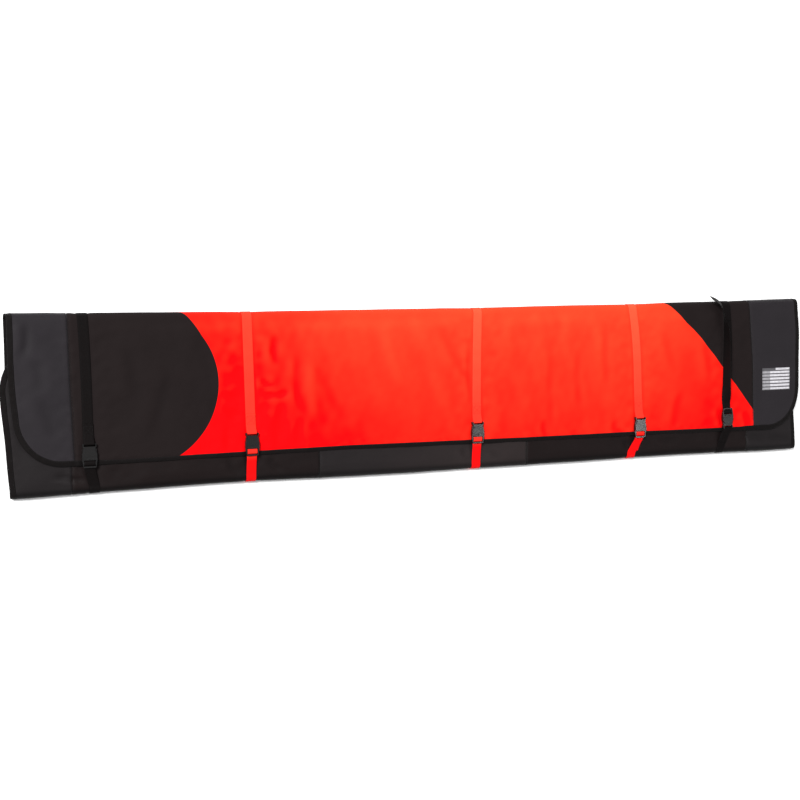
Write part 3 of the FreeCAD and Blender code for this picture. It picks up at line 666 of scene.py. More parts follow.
def cloth(name, paint, gloss, pitch, depth, rough_low, rough_high, mottle, relief_shading=0.0):
    """Woven cloth: thread relief, faint mottling, painted shade in the valleys and painted light on the
    ridges of the padding, and uneven sheen.
    """
    g = Graph(name, *gloss)
    color = paint(g) if callable(paint) else paint
    threads = g.weave(pitch)
    soft, grain = g.noise(g.uv, 9.0), g.noise(g.uv, 420.0, 2.0, 0.65)
    slub = g.noise(g.uv, 95.0, 3.0, 0.6)
    light = g.vary(g.vary(g.vary(1.0, soft, mottle), slub, mottle), threads, 0.3)
    # Painted shade in the padding's valleys and painted light on its ridges.
    if relief_shading:
        light = g.vary(light, ridges(g), relief_shading)
    soft_normal = g.bump(g.noise(g.uv, 38.0, 4.0, 0.55), 0.35, 0.6 * MM)
    normal = g.bump(g.mad(grain, 0.35, threads), 0.55, depth, Normal=soft_normal)
    spread = g.mad(grain, 0.3, g.mul(slub, 0.7))
    return g.finish(g.dimmed(color, light), g.remap(spread, 0.25, 0.75, rough_low, rough_high), normal)


PRINT_EDGE = 0.5 * MM
# Lit orange and shaded deep red: painted light and painted shade on the one red print.
PRINT_LIT_ORANGE, PRINT_SHADED_DEEP, PRINT_BLACK = shade(230, 76, 42), shade(222, 4, 9), shade(27, 22, 22)


def smooth_edge(g, distance):
    """0 inside and 1 outside a printed edge, from a signed distance."""
    return g.ease(distance, -PRINT_EDGE, PRINT_EDGE)


def radius(g, u, v, centre_x, centre_y):
    """How far the shaded point lies from a centre on the cloth."""
    du, dv = g.sub(u, centre_x), g.sub(v, centre_y)
    return g.math("SQRT", g.add(g.mul(du, du), g.mul(dv, dv)))


def disc_outside(g, u, v):
    """1 right of the disc's middle and outside the black disc at the left of the red field."""
    disc_x, disc_y, disc_r = SEAM_LEFT + 142.3 * MM, 36.9 * MM, 192.3 * MM
    disc = smooth_edge(g, g.sub(radius(g, u, v, disc_x, disc_y), disc_r))
    return g.mul(disc, smooth_edge(g, g.sub(u, disc_x)))


def corner_outside(g, u, v):
    """1 left of the black right corner, whose straight slope bends into an arc near the top."""
    knee_x, knee_y = SEAM_RIGHT - 168 * MM, 107 * MM
    run, rise, bend = 0.663, -0.749, 400 * MM
    centre_x, centre_y = knee_x + bend * rise, knee_y - bend * run
    slope = g.mad(g.sub(v, knee_y), run, g.mul(g.sub(u, knee_x), -rise))
    arc = g.sub(radius(g, u, v, centre_x, centre_y), bend)
    above, rightward = g.over(v, knee_y), g.over(u, centre_x)
    arc = g.sub(g.mul(arc, rightward), g.sub(1.0, rightward))
    signed = g.add(g.mul(above, arc), g.mul(g.sub(1.0, above), slope))
    return g.sub(1.0, smooth_edge(g, signed))


def printed(g):
    """A red field with a black disc at the left and a black corner at the right; the red carries painted
    light and painted shade.
    """
    u, v, _ = g.split(g.uv)
    over_fold = g.most(g.sub(v, 150 * MM), 0.0)
    # Painted light: the red is painted steeply paler over the top fold.
    climb = g.mad(over_fold, 5.0, g.remap(v, HEM, TOP_LINE, 0.0, 1.1))
    v = g.mad(over_fold, -0.25, v)
    margin = smooth_edge(g, g.sub(v, HEM + 9.5 * MM))
    red_part = g.mul(g.mul(disc_outside(g, u, v), corner_outside(g, u, v)), margin)
    # Painted light and shade: the red is painted deep, as shade, at the low left and paler orange, as
    # light, towards the top and the middle.
    rising = g.ease(u, straps[1].x - 110 * MM, straps[2].x - 150 * MM)
    falling = g.ease(u, straps[3].x, SEAM_RIGHT)
    foot = g.mad(rising, 0.24, g.mad(falling, -0.12, -0.16))
    rate = g.mad(rising, 0.14, g.mad(falling, -0.1, 0.25))
    fade = g.vary(g.mad(climb, rate, foot), g.noise(g.uv, 3.2, 2.0), 0.2)
    # Painted shade in the padding's valleys and painted light on its ridges.
    fade = g.vary(fade, ridges(g), g.mad(rising, -0.12, 0.34))
    return g.mix(red_part, PRINT_BLACK, g.mix(g.remap(fade, 0.0, 1.0), PRINT_SHADED_DEEP, PRINT_LIT_ORANGE))


def shaded_foot(g, color):
    """The same colour, with painted shade where the sheet turns round the bottom fold."""
    _, v, _ = g.split(g.uv)
    above = g.ease(v, S_INNER - 6 * MM, S_INNER + 10 * MM, 0.4, 1.0)
    below = g.ease(v, S_FOOT - 10 * MM, S_FOOT + 10 * MM, 1.0, 0.4)
    return g.dimmed(color, g.most(above, below))


def laminated(g):
    """The laminated ends, darker on the inner flap, where the patch carries a painted sheen that
    brightens it to the right.
    """
    u, v, _ = g.split(g.uv)
    patch = g.mul(g.over(u, PATCH_LEFT - 20 * MM), g.over(PATCH_RIGHT + 20 * MM, u))
    # Painted light: the patch is painted brighter towards the right, as a painted sheen.
    patch = g.mul(patch, g.ease(u, PATCH_LEFT, PATCH_RIGHT, 0.1, 1.1))
    inner = g.mix(patch, shade(24, 21, 22), shade(35, 29, 29))
    # Painted shade where the sheet turns round the bottom fold.
    return shaded_foot(g, g.mix(g.ease(v, S_FOOT, S_INNER), shade(31, 28, 31), inner))


def nylon(g):
    # Painted shade where the sheet turns round the bottom fold.
    return shaded_foot(g, shade(17, 10, 10))


def webbing(name, color, shaded_color=None, lit_color=None):
    """Woven strap: ribs along its length, picks across and heavier edges, darkened as painted shade; red
    straps carry painted light towards the top and painted shade below the hem.
    """
    g = Graph(name, 0.05, 0.02, 0.35)
    u, v, _ = g.split(g.uv)
    ribs = g.size(g.thread(u, 1.9 * MM))
    slant = g.add(g.mul(v, math.pi / (1.3 * MM)), g.mul(ribs, 1.6))
    threads = g.mad(g.size(g.math("SINE", slant)), 0.6, g.mul(ribs, 0.5))
    fuzz = g.noise(g.uv, 500.0, 2.0, 0.7)
    light = g.vary(g.mad(threads, 0.35, 0.72), g.noise(g.uv, 30.0, 2.0), 0.25)
    # Painted shade along both edges of the strap.
    light = g.mad(g.ease(g.size(u), 10.6 * MM, 11.6 * MM), -0.12, light)
    # Painted light and shade on red straps: paler towards the top, less so on the left strap, and deep
    # below the hem.
    if shaded_color is not None:
        x, y, _ = g.split(g.place())
        spread = g.mul(g.remap(x, straps[1].x, straps[2].x, 0.35, 1.0), g.remap(y, HEM, TOP_LINE))
        color = g.mix(spread, color, lit_color)
        color = g.mix(g.ease(y, HEM - 12 * MM, HEM + 4 * MM), shaded_color, color)
    normal = g.bump(g.mad(fuzz, 0.3, threads), 0.7, 0.25 * MM)
    return g.finish(g.dimmed(color, light), g.remap(fuzz, 0.3, 0.7, 0.5, 0.72), normal)


def plastic():
    """Moulded plastic: fine spark texture, light scuffs scattered at random."""
    g = Graph("moulded_plastic", 0.45)
    spark = g.noise(g.place(), 2600.0, 2.0, 0.6)
    scratch = g.ease(g.noise(g.place(), 520.0, 5.0, 0.7), 0.45, 0.75)
    color = g.mix(g.mul(scratch, 0.3), shade(16, 15, 15), shade(36, 35, 36))
    rough = g.mad(scratch, 0.07, g.remap(spark, 0.3, 0.7, 0.2, 0.28))
    return g.finish(color, rough, g.bump(spark, 0.25, 0.05 * MM))


def yarn(name, *rgb):
    """Sewing thread, darker between its fibres."""
    g = Graph(name, 0.15, 0.05)
    fibre = g.noise(g.place(), 3000.0, 2.0)
    red, green, blue, _ = shade(*rgb)
    dark = (0.6 * red, 0.6 * green, 0.6 * blue, 1.0)
    color = g.mix(g.remap(fibre, 0.3, 0.7), shade(*rgb), dark)
    return g.finish(color, g.remap(fibre, 0.3, 0.7, 0.5, 0.75), g.bump(fibre, 0.4, 0.05 * MM))


def ruled(g):
    """Blank white identity label with plain ruled bars."""
    u, v, _ = g.split(g.uv)
    gap = g.remap(g.size(g.thread(v, LABEL_ROW)), 0.5, 0.6, 1.0, 0.0)
    header = g.remap(v, LABEL_HEADER, LABEL_HEADER + 0.4 * MM)
    first = g.mul(header, g.remap(u, 42 * MM, 42.4 * MM, 1.0, 0.0))
    names = g.mul(g.sub(1.0, header), g.remap(u, 24 * MM, 24.4 * MM, 0.55, 0.0))
    return g.most(g.most(gap, names), first)


def label_white():
    """The label's faint weave under its bars."""
    g = Graph("label_weave", 0.4, 0.1)
    grain = g.noise(g.uv, 160.0)
    white = g.mix(g.remap(grain, 0.3, 0.7), shade(196, 194, 198), shade(170, 168, 174))
    color = g.mix(g.mul(ruled(g), 0.93), white, shade(52, 50, 54))
    normal = g.bump(g.weave(0.5 * MM, 0.9), 0.3, 0.06 * MM)
    return g.finish(color, g.remap(grain, 0.3, 0.7, 0.45, 0.65), normal)


LABEL_ROW, LABEL_HEADER = 8.2 * MM, 49 * MM
# Cloths: specular level, sheen and its roughness; thread pitch and depth; roughness from and to;
# mottling and painted relief shading.
MATERIALS = {
    "print_red": cloth(
        "print_cloth", printed, (0.03, 0.01, 0.4), 0.55 * MM, 0.1 * MM, 0.55, 0.75, 0.12, 0.25
    ),
    "laminate_grey": cloth(
        "laminate_cloth", laminated, (0.1, 0.03, 0.5), 1.1 * MM, 0.2 * MM, 0.45, 0.7, 0.2, 0.3
    ),
    "fabric_black": cloth(
        "nylon_cloth", nylon, (0.12, 0.03, 0.4), 0.5 * MM, 0.08 * MM, 0.5, 0.7, 0.2, 0.35
    ),
    "lining": cloth(
        "lining_cloth", shade(58, 58, 60), (0.3, 0.04), 0.4 * MM, 0.05 * MM, 0.38, 0.55, 0.15
    ),
    "binding_black": cloth(
        "tape_cloth", shade(9, 6, 6), (0.09, 0.03, 0.5), 0.8 * MM, 0.22 * MM, 0.6, 0.8, 0.25
    ),
    # Red webbing: its own red, a deep red painted as shade below the hem and a pale red painted as light
    # towards the top.
    "webbing_red": webbing(
        "webbing_red_cloth", shade(230, 40, 30), shade(226, 10, 12), shade(238, 78, 50)
    ),
    "webbing_black": webbing("webbing_black_cloth", shade(13, 10, 10)),
    "buckle_plastic": plastic(),
    "label_white": label_white(),
}
THREAD_DARK, THREAD_GREY = yarn("thread_dark", 16, 14, 14), yarn("thread_grey", 17, 15, 16)
THREAD_RED = yarn("thread_red", 168, 20, 14)


def dress(piece, slot):
    piece.data.materials.append(MATERIALS[slot])
    return piece


ON_BAG, ON_FLAP = False, True


def attach(piece, flap, *nodes):
    """Hides the nodes that a piece stands in for, and rides the piece on the bag's body; a piece for the
    outer flap only has its place baked into its points.
    """
    if nodes:
        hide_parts(*nodes)
    if flap:
        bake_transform(piece)
    else:
        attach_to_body(piece, "bag_body")


# ---- padded sheet

relief = simulate_sheet()

FLAP_SPAN, BACK_SPAN, INNER_SPAN = (S_HEM + RIM, S_BACK), (S_BACK, S_FOOT), (S_FOOT, S_FREE - RIM)

# Each section: its stretch of the sheet, the node whose place it takes, the seams at its left and
# right (None is the sheet's own end), its slot and the other nodes that it stands for.
SECTIONS = [
    (FLAP_SPAN, "outer_flap_end_left", None, seam_left, "laminate_grey"),
    (FLAP_SPAN, "outer_flap_print", seam_left, seam_right, "print_red", "outer_flap_foam", "top_fold"),
    (FLAP_SPAN, "outer_flap_end_right", seam_right, None, "laminate_grey"),
    (BACK_SPAN, "back_end_left", None, seam_left, "laminate_grey"),
    (BACK_SPAN, "back_facing", seam_left, seam_right, "fabric_black", "back_foam"),
    (BACK_SPAN, "back_end_right", seam_right, None, "laminate_grey"),
    (INNER_SPAN, "inner_flap_end_left", None, seam_left, "laminate_grey"),
    (INNER_SPAN, "inner_flap_panel_left", seam_left, patch_left, "fabric_black",
     "inner_flap_foam", "bottom_fold"),
    (INNER_SPAN, "inner_flap_patch", patch_left, patch_right, "laminate_grey"),
    (INNER_SPAN, "inner_flap_panel_right", patch_right, seam_right, "fabric_black"),
    (INNER_SPAN, "inner_flap_end_right", seam_right, None, "laminate_grey"),
]
for span, node, left, right, slot, *others in SECTIONS:
    flap = span is FLAP_SPAN
    piece = section(f"{node}_pad", left, right, *span, hem_lift if flap else None)
    dress(piece, slot)
    attach(piece, flap, node, *others)

LININGS = [
    ("outer_flap_lining_sheet", S_HEM + RIM, S_BACK, hem_lift, "outer_flap_lining"),
    ("back_lining_sheet", S_BACK, S_FREE - RIM, None, "back_lining", "inner_flap_lining"),
]
for name, start, stop, lift, *nodes in LININGS:
    piece = section(name, None, None, start, stop, lift, True)
    dress(piece, "lining")
    attach(piece, lift is hem_lift, *nodes)


# ---- edge tape

# The 12 mm round the ends is partly real tape and partly painted shade, black laid where the edge's
# shadow falls.
TAPE_WIDTH, TAPE_AT_HEM, TAPE_STEP = 12 * MM, 8.5 * MM, 5 * MM


def rim(stop):
    """The cut edge from the back, along a free edge and back: even places and the way inwards."""
    s = rows(min(S_BACK, stop), max(S_BACK, stop))
    s = np.unique(np.append(s, stop))
    if stop < S_BACK:
        s = s[::-1]
    left, right = borders(s)
    across = np.linspace(left[-1], right[-1], int((right[-1] - left[-1]) / PITCH))[1:-1]
    line = np.c_[np.r_[left, across, right[::-1]], np.r_[s, 0 * across + stop, s[::-1]]]
    run = run_of(line)
    marks = np.linspace(0, run[-1], int(run[-1] / TAPE_STEP) + 1)
    x, s = at_marks(line, run, marks).T
    tx, ts = np.gradient(x), np.gradient(s)
    size = np.hypot(tx, ts) * (1 if stop < S_BACK else -1)
    return x, s, -ts / size, tx / size


def tape_width(x):
    """The tape is broad round the ends, partly as painted shade: there its black also covers where the
    edge's shadow falls. It is narrower along the free edges.
    """
    stops = [SEAM_LEFT - 20 * MM, SEAM_LEFT + 120 * MM, SEAM_RIGHT - 120 * MM, SEAM_RIGHT + 20 * MM]
    return TAPE_WIDTH + (TAPE_AT_HEM - TAPE_WIDTH) * plateau(*stops, x)


# Cross section of the tape: share of its width in from the edge, side (1 is outside) and how
# proud it stands there.
TAPE_PROFILE = [
    (1.0, 1, 0.1), (0.97, 1, 0.9), (0.6, 1, 1.05), (0.2, 1, 1.0), (0.03, 1, 0.55), (-0.06, 0.6, 0),
    (-0.08, 0.2, 0), (-0.06, -0.3, 0), (0.03, -1, 0.55), (0.2, -1, 1.0), (0.6, -1, 1.0),
    (0.97, -1, 0.9), (1.0, -1, 0.1), (0.96, -1, -0.2), (0.3, -1, -0.2), (0.1, 0, 0),
    (0.3, 1, -0.2), (0.96, 1, -0.2),
]


def edge_tape(name, stop, lift=None):
    """Tape folded over the cut edge: one closed strip with both its faces."""
    x, s, ix, js = rim(stop)
    width = tape_width(x) + 0.35 * MM * waves(x, s, 21, 60 * MM, 7)
    rise = 0.6 * MM + 0.1 * MM * waves(x, s, 22, 14 * MM, 7)
    rails, uv = [], []
    for share, side, proud in TAPE_PROFILE:
        a = share * width
        inside = np.maximum(a, 1.6 * MM)
        upper = height(x + ix * inside, s + js * inside)
        lower = -PAD + 1.1 * MM
        h = (upper + lower) / 2 + side * (upper - lower) / 2
        h = h + proud * rise * (1 if side >= 0 else -1)
        h = np.where(underside(s) > 0.5, np.minimum(h, 0), h)
        raised = lift(x + ix * inside, s + js * inside) if lift else 0
        rails.append(place(x + ix * a, s + js * a, h + raised))
        across = np.full(x.shape, len(rails) * 1.1 * MM)
        uv.append(np.stack([across, np.arange(len(x)) * TAPE_STEP], -1))
    return strip(name, rails, uv)


for part, stop, lift in (("outer_flap", S_HEM, hem_lift), ("inner_flap", S_FREE, None)):
    tape = dress(edge_tape(f"{part}_edge_tape", stop, lift), "binding_black")
    attach(tape, lift is hem_lift, f"{part}_binding")


# ---- stitches

THREAD_RINGS = ((-0.5, 0.35), (-0.22, 1.0), (0.22, 1.0), (0.5, 0.35))
THREAD_SECTION = ((1, -0.5), (0.75, 0.7), (-0.75, 0.7), (-1, -0.5))
CORNER_PAIRS = ((0, 1), (1, 2), (2, 3), (3, 0))
THREAD_SIDES = [(r + a, r + b, r + 4 + b, r + 4 + a) for r in (0, 4, 8) for a, b in CORNER_PAIRS]
THREAD_FACES = np.array([*THREAD_SIDES, (3, 2, 1, 0), (12, 13, 14, 15)])


def stitches(name, lines, material, pitch=4.2 * MM, long=3.1 * MM, wide=0.75 * MM, tall=0.45 * MM):
    """Short raised threads along lines of points, each with its normal: one mesh."""
    blocks = []
    for line in lines:
        spots = resample(line, pitch)
        if len(spots) < 3:
            continue
        along = unit(np.gradient(spots[:, :3], axis=0))
        normal = unit(spots[:, 3:6])
        side = np.cross(along, normal)
        rings = []
        for reach, size in THREAD_RINGS:
            centre = spots[:, :3] + along * long * reach
            for across, up in THREAD_SECTION:
                rings.append(centre + side * wide / 2 * across * size + normal * tall * (up * size))
        blocks.append(np.stack(rings, 1))
    verts = np.concatenate(blocks)
    firsts = np.arange(len(verts)) * len(THREAD_RINGS) * len(THREAD_SECTION)
    faces = (firsts[:, None, None] + THREAD_FACES).reshape(-1, 4)
    piece = facing_out(new_mesh(name, verts.reshape(-1, 3), faces))
    piece.data.materials.append(material)
    return piece


def sewn(x, s, lift=None, over=0.05 * MM):
    """A line of sheet places as points with normals, just over the facing."""
    x, s = np.broadcast_arrays(np.asarray(x, float), np.asarray(s, float))
    raised = lift(x, s) if lift else 0
    points = place(x, s, height(x, s) + raised + over)
    return np.c_[points, place(x, s, 1.0) - place(x, s, 0.0)]


def taped(stop, lift=None):
    """A sewn line just inside the inner edge of the edge tape."""
    x, s, ix, js = rim(stop)
    inward = tape_width(x) - 2 * MM
    return sewn(x + ix * inward, s + js * inward, lift, 0.62 * MM)


def seam_lines(seams, start, stop, lift=None):
    """Two rows of thread along each seam, one on either side."""
    s = np.linspace(start, stop, 400)
    return [sewn(seam(s) + o, s, lift) for seam in seams for o in (-2.6 * MM, 2.6 * MM)]


THREAD_END = 12 * MM  # the rows of the seams stop this far from the free edges
flap_lines = [taped(S_HEM, hem_lift)]
flap_lines += seam_lines(SEAMS, S_HEM + THREAD_END, S_BACK, hem_lift)
bag_lines = [taped(S_FREE)]
bag_lines += seam_lines(SEAMS, S_BACK, S_FREE - THREAD_END)
bag_lines += seam_lines(INNER_SEAMS, S_FOOT + 10 * MM, S_FREE - THREAD_END)
for name, lines, flap in (("outer_flap", flap_lines, ON_FLAP), ("bag_body", bag_lines, ON_BAG)):
    piece = stitches(f"{name}_stitches", lines, THREAD_GREY)
    attach(piece, flap)


# ---- webbing

WEB, WEB_HALF = 1.5 * MM, 11.8 * MM  # thickness and half width
# Cross section of the webbing: shares of its half width and of its thickness.
WEB_SECTION = [(-1, 0), (-0.985, 0.33), (-0.92, 0.5), (-0.6, 0.46), (-0.2, 0.45), (0.2, 0.45),
               (0.6, 0.46), (0.92, 0.5), (0.985, 0.33), (1, 0)]
WEB_SECTION += [(-a, -b) for a, b in WEB_SECTION[1:-1]]


def ribbon(name, centre, slot, axis=(1.0, 0, 0)):
    """A woven strap along a line of points: rounded edges, closed ends."""
    along = unit(np.gradient(centre, axis=0))
    wide = unit(axis - along * np.sum(axis * along, axis=1)[:, None])
    normal = np.cross(wide, along)
    run = run_of(centre)
    rails = [centre + wide * (a * WEB_HALF) + normal * (b * WEB) for a, b in WEB_SECTION]
    uv = [np.stack([np.full(run.shape, a * WEB_HALF), run], -1) for a, _ in WEB_SECTION]
    return dress(strip(name, rails, uv), slot)


def smooth_line(points, pitch, rounds=2):
    """A line through given points, its corners eased, with points an even pitch apart."""
    line = np.asarray(points, float)
    for _ in range(rounds):
        a, b = line[:-1], line[1:]
        eased = np.stack([a * 0.75 + b * 0.25, a * 0.25 + b * 0.75], 1).reshape(-1, 3)
        line = np.concatenate([line[:1], eased[1:-1], line[-1:]])
    run = run_of(line)
    return at_marks(line, run, np.linspace(0, run[-1], max(3, int(run[-1] / pitch))))


def carried_on(first, points, pitch=2.5 * MM):
    """A settled line, carried on through given points."""
    return np.concatenate([first, smooth_line([first[-1], *points], pitch)[1:]])


def on_sheet(strap, start, stop, pitch=4 * MM):
    """The middle of the webbing where it lies on the padding."""
    s = np.linspace(start, stop, max(3, int(abs(stop - start) / pitch)))
    return place(strap.line(s), s, strap_bed(strap, s) + 0.5 * WEB + 0.05 * MM)


LADDER_FIRST, LADDER_SLOT, LADDER_BAR = 8.5 * MM, 3.0 * MM, 7.2 * MM
LIFT_RUN, LAP = 22 * MM, 32 * MM  # the strap's rise from the padding to the bar; its sewn lap
BAR_REACH = BAR_RADIUS + 0.25 * MM + WEB / 2
LOOP_PITCH = 1.6 * MM
MM_UP = np.array([0, 0, MM])


def round_bar(strap):
    """The webbing's turn round the loop bar."""
    angles = np.linspace(0.1, math.pi - 0.1, 9)
    turn = [(BAR_REACH * math.sin(angle), BAR_REACH * math.cos(angle)) for angle in angles]
    return [(strap.x, strap.bar - strap.way * out, strap.z - up) for out, up in turn]


def loop_line(strap, pad_z):
    """Strand up to the loop bar, round it and back as the sewn lap, from the pad's side."""
    def at(run, level):
        y = strap.bar + strap.way * run
        return float(strap.line(y)), y, level

    midway, lap_z = (pad_z + strap.z - BAR_REACH) / 2, pad_z + WEB + 0.1 * MM
    strand = [
        at(LIFT_RUN, pad_z), at(0.7 * LIFT_RUN, pad_z + 0.6 * MM), at(0.35 * LIFT_RUN, midway),
        at(5 * MM, strap.z - BAR_REACH - 0.2 * MM),
    ]
    lap = [
        at(5 * MM, strap.z + BAR_REACH - 1.2 * MM), at(0.4 * LIFT_RUN, midway + WEB + 1.1 * MM),
        at(0.7 * LIFT_RUN, lap_z + 0.9 * MM), at(LIFT_RUN, lap_z + 0.1 * MM),
        at(LIFT_RUN + 0.7 * LAP, lap_z),
    ]
    return strand + round_bar(strap) + lap


def under_ladder(strap):
    """Height of the webbing just beneath the ladder."""
    return strap.z - 2.65 * MM - WEB / 2


def ladder_line(strap):
    """Webbing at the ladder: up the far slot, over the bar, down the near slot and back beneath."""
    way, under, top, bend = strap.way, under_ladder(strap), strap.z + 1.4 * MM + WEB / 2, 1.2 * MM
    near = strap.mouth - way * (LADDER_FIRST + LADDER_SLOT / 2)
    far = near - way * (LADDER_SLOT + LADDER_BAR)
    places = [
        (strap.ladder_end - way * 2 * MM, under), (far - way * 1.6 * MM, under), (far, under + bend),
        (far, top - bend), (far + way * bend * 0.8, top), (near - way * bend * 0.8, top),
        (near, top - bend), (near, under - 0.6 * MM), (near - way * 2.4 * MM, under - WEB - 0.1 * MM),
        (far, under - WEB - 0.15 * MM),
    ]
    return [(strap.x, y, z) for y, z in places]


def stitch_box(strap, pad_z):
    """The sewn square and its cross on the lap, as lines of points with normals."""
    centre_y = strap.bar + strap.way * (LIFT_RUN + 8 * MM)
    half, top = 9.5 * MM, pad_z + WEB * 1.5 + 0.22 * MM
    square = [(-half, -half), (half, -half), (half, half), (-half, half), (-half, -half)]
    lines = []
    for loop in (square, [(-half, -half), (half, half)], [(-half, half), (half, -half)]):
        line = [(float(strap.line(centre_y + b)) + a, centre_y + b, top) for a, b in loop]
        fine = resample(np.array(line), 0.8 * MM)
        lines.append(np.c_[fine, np.tile([0, 0, 1.0], (len(fine), 1))])
    return lines


def bottom_ladder_strap(strap, front_low, round_fold):
    """A strap whose ladder is at the bottom edge; gives the stitch lines of its sewn lap."""
    n, end, start, under = strap.number, strap.ladder_end, front_low[-1], under_ladder(strap)
    arrival_x, arrival_z = strap.x + (start[0] - strap.x) * 0.45, (start[2] + under) / 2 - 0.8 * MM
    arrival = (arrival_x, (start[1] + end) / 2, arrival_z)
    beneath = [(strap.x, end - 4 * MM, under - WEB - 0.3 * MM)]
    if n == 4:
        # Here the end of the webbing shows past the ladder, to the left.
        beneath = [(strap.x - 1 * MM, end - 4 * MM, under - WEB - 0.3 * MM),
                   (strap.x - 7 * MM, end - 20 * MM, INNER_TOP + 1.6 * MM),
                   (strap.x - 12 * MM, end - 31 * MM, INNER_TOP + 1.2 * MM)]
    front = carried_on(front_low, [arrival, *ladder_line(strap), *beneath])
    front = ribbon(f"strap_{n}_front_webbing", front, strap.slot)
    start, end = (0, BOTTOM_LINE + 3 * MM, 0), (0, end - 3 * MM, 0)
    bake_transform(front)
    upper = on_sheet(strap, S_TOP, strap.bar + strap.way * LIFT_RUN + 2 * MM)
    pad_z = float(upper[-1][2])
    upper = carried_on(np.concatenate([round_fold, upper[1:]]), loop_line(strap, pad_z), LOOP_PITCH)
    web = ribbon(f"strap_{n}_upper_webbing", upper, strap.slot)
    attach(web, ON_FLAP, f"strap_{n}_upper_web", f"strap_{n}_fold_web")
    return stitch_box(strap, pad_z)


def top_ladder_strap(strap, front_low, round_fold):
    """The reversed strap, whose ladder is at the top; gives the stretch with the sewn loop."""
    n, x, z, bar, end = strap.number, strap.x, strap.z, strap.bar, strap.ladder_end
    foot = front_low[-1]
    knee = np.array([x + (foot[0] - x) * 0.2, bar - 11 * MM, z - BAR_REACH - 2.6 * MM])
    strand = [foot * 0.5 + knee * 0.5 - 0.8 * MM_UP, knee, (x, bar - 4 * MM, z - BAR_REACH)]
    over = np.array([0, -0.4 * MM, WEB + 0.15 * MM])
    lap = [(x, bar - 4.5 * MM, z + BAR_REACH - 1.5 * MM), knee + over,
           foot * 0.42 + knee * 0.58 + over - 0.6 * MM_UP, foot * 0.7 + knee * 0.3 + over - 0.6 * MM_UP]
    loop = carried_on(front_low, [*strand, *round_bar(strap), *lap], LOOP_PITCH)
    web = ribbon(f"strap_{n}_front_webbing", loop, strap.slot)
    attach(web, ON_BAG)
    split = S_TOP - 40 * MM
    fold = np.concatenate([round_fold, on_sheet(strap, S_TOP, split)[1:]])
    fold = ribbon(f"strap_{n}_fold_webbing", fold, strap.slot)
    attach(fold, ON_FLAP, f"strap_{n}_fold_web")
    upper = on_sheet(strap, split, end + 30 * MM)
    arrival = (x, end + 14 * MM, (float(upper[-1][2]) + z - 3.4 * MM) / 2)
    beneath = (x, end + 4 * MM, under_ladder(strap) - WEB - 0.2 * MM)
    upper = carried_on(upper, [arrival, *ladder_line(strap), beneath])
    upper = ribbon(f"strap_{n}_upper_webbing", upper, strap.slot)
    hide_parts(f"strap_{n}_upper_web")
    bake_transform(upper)
    return web


box_lines = {"webbing_red": [], "webbing_black": []}
for strap in straps:
    n, middle = strap.number, (S_FOOT + S_INNER) / 2
    low_web = ribbon(f"strap_{n}_back_webbing", on_sheet(strap, S_BACK, middle, 2.5 * MM), strap.slot)
    attach(low_web, ON_BAG)
    round_fold = on_sheet(strap, S_BACK + 1 * MM, S_TOP, 1.5 * MM)
    front_low = on_sheet(strap, middle, S_INNER + 6 * MM, 1.5 * MM)
    if strap.up:
        box_lines[strap.slot] += bottom_ladder_strap(strap, front_low, round_fold)
    else:
        low_web = top_ladder_strap(strap, front_low, round_fold)
    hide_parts(f"strap_{n}_lower_web")

for slot, thread in (("webbing_red", THREAD_RED), ("webbing_black", THREAD_DARK)):
    sizes = (2.7 * MM, 2.2 * MM, 0.7 * MM, 0.4 * MM)
    piece = stitches(f"outer_flap_{slot}_box_stitches", box_lines[slot], thread, *sizes)
    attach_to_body(piece, "outer_flap")


BESIDE = 17.1 * MM  # the loose end stands on its edge this far left of the strap's middle
# Places on its upper stretch: millimetres right of there, or from the third on of there at the top
# fold, share of the way up, and lean in degrees.
UPPER_STRETCH = [
    (10, 0.40, -66), (11, 0.55, -70), (9, 0.70, -84), (3, 0.83, -112), (-7, 0.915, -128),
    (-20, 0.955, -127), (-40, 0.985, -118),
]


def loose_end(strap):
    """The loose end of the reversed strap, from beneath its ladder: its line and its leaning axis."""
    low_corner, high_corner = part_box(f"strap_{strap.number}_tail")
    middle, end = (low_corner.z + high_corner.z) / 2, strap.ladder_end
    side, top_side, reach = strap.x - BESIDE, strap.top_x - BESIDE, high_corner.y - end
    route = [
        (strap.x, end + 4 * MM, strap.z - 4.8 * MM, 0),
        (strap.x - 1 * MM, end + 12 * MM, strap.z - 4.9 * MM, -4),
        (strap.x - 4 * MM, end + 30 * MM, strap.z + 0.5 * MM, -30),
        (side + 9 * MM, end + 58 * MM, middle, -60),
    ]
    for right, share, lean in UPPER_STRETCH:
        from_x = side if share < 0.6 else top_side
        route.append((from_x + right * MM, end + share * reach, middle, lean))
    route = np.array(route)
    line = smooth_line(route[:, :3], 3 * MM, 3)
    run, route_run = run_of(line), run_of(route[:, :3])
    lean = np.radians(np.interp(run / run[-1], route_run / route_run[-1], route[:, 3]))[:, None]
    upright = np.array([0, 0, 1.0])
    flat = unit(np.cross(unit(np.gradient(line, axis=0)), upright))
    return line, flat * np.cos(lean) - upright * np.sin(lean)


s5 = straps[4]
line, axis = loose_end(s5)
piece = ribbon("strap_5_loose_end", line, s5.slot, axis)
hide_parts("strap_5_tail")
start, end = (0, s5.ladder_end + 30 * MM, 0), (0, s5.ladder_end + 130 * MM, 0)
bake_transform(piece)


# ---- label

LABEL_SAG = 4 * MM  # the sagging hem stretches the flap under the label by this
LABEL_INSET = 1.8 * MM  # the stitches run this far inside its edge


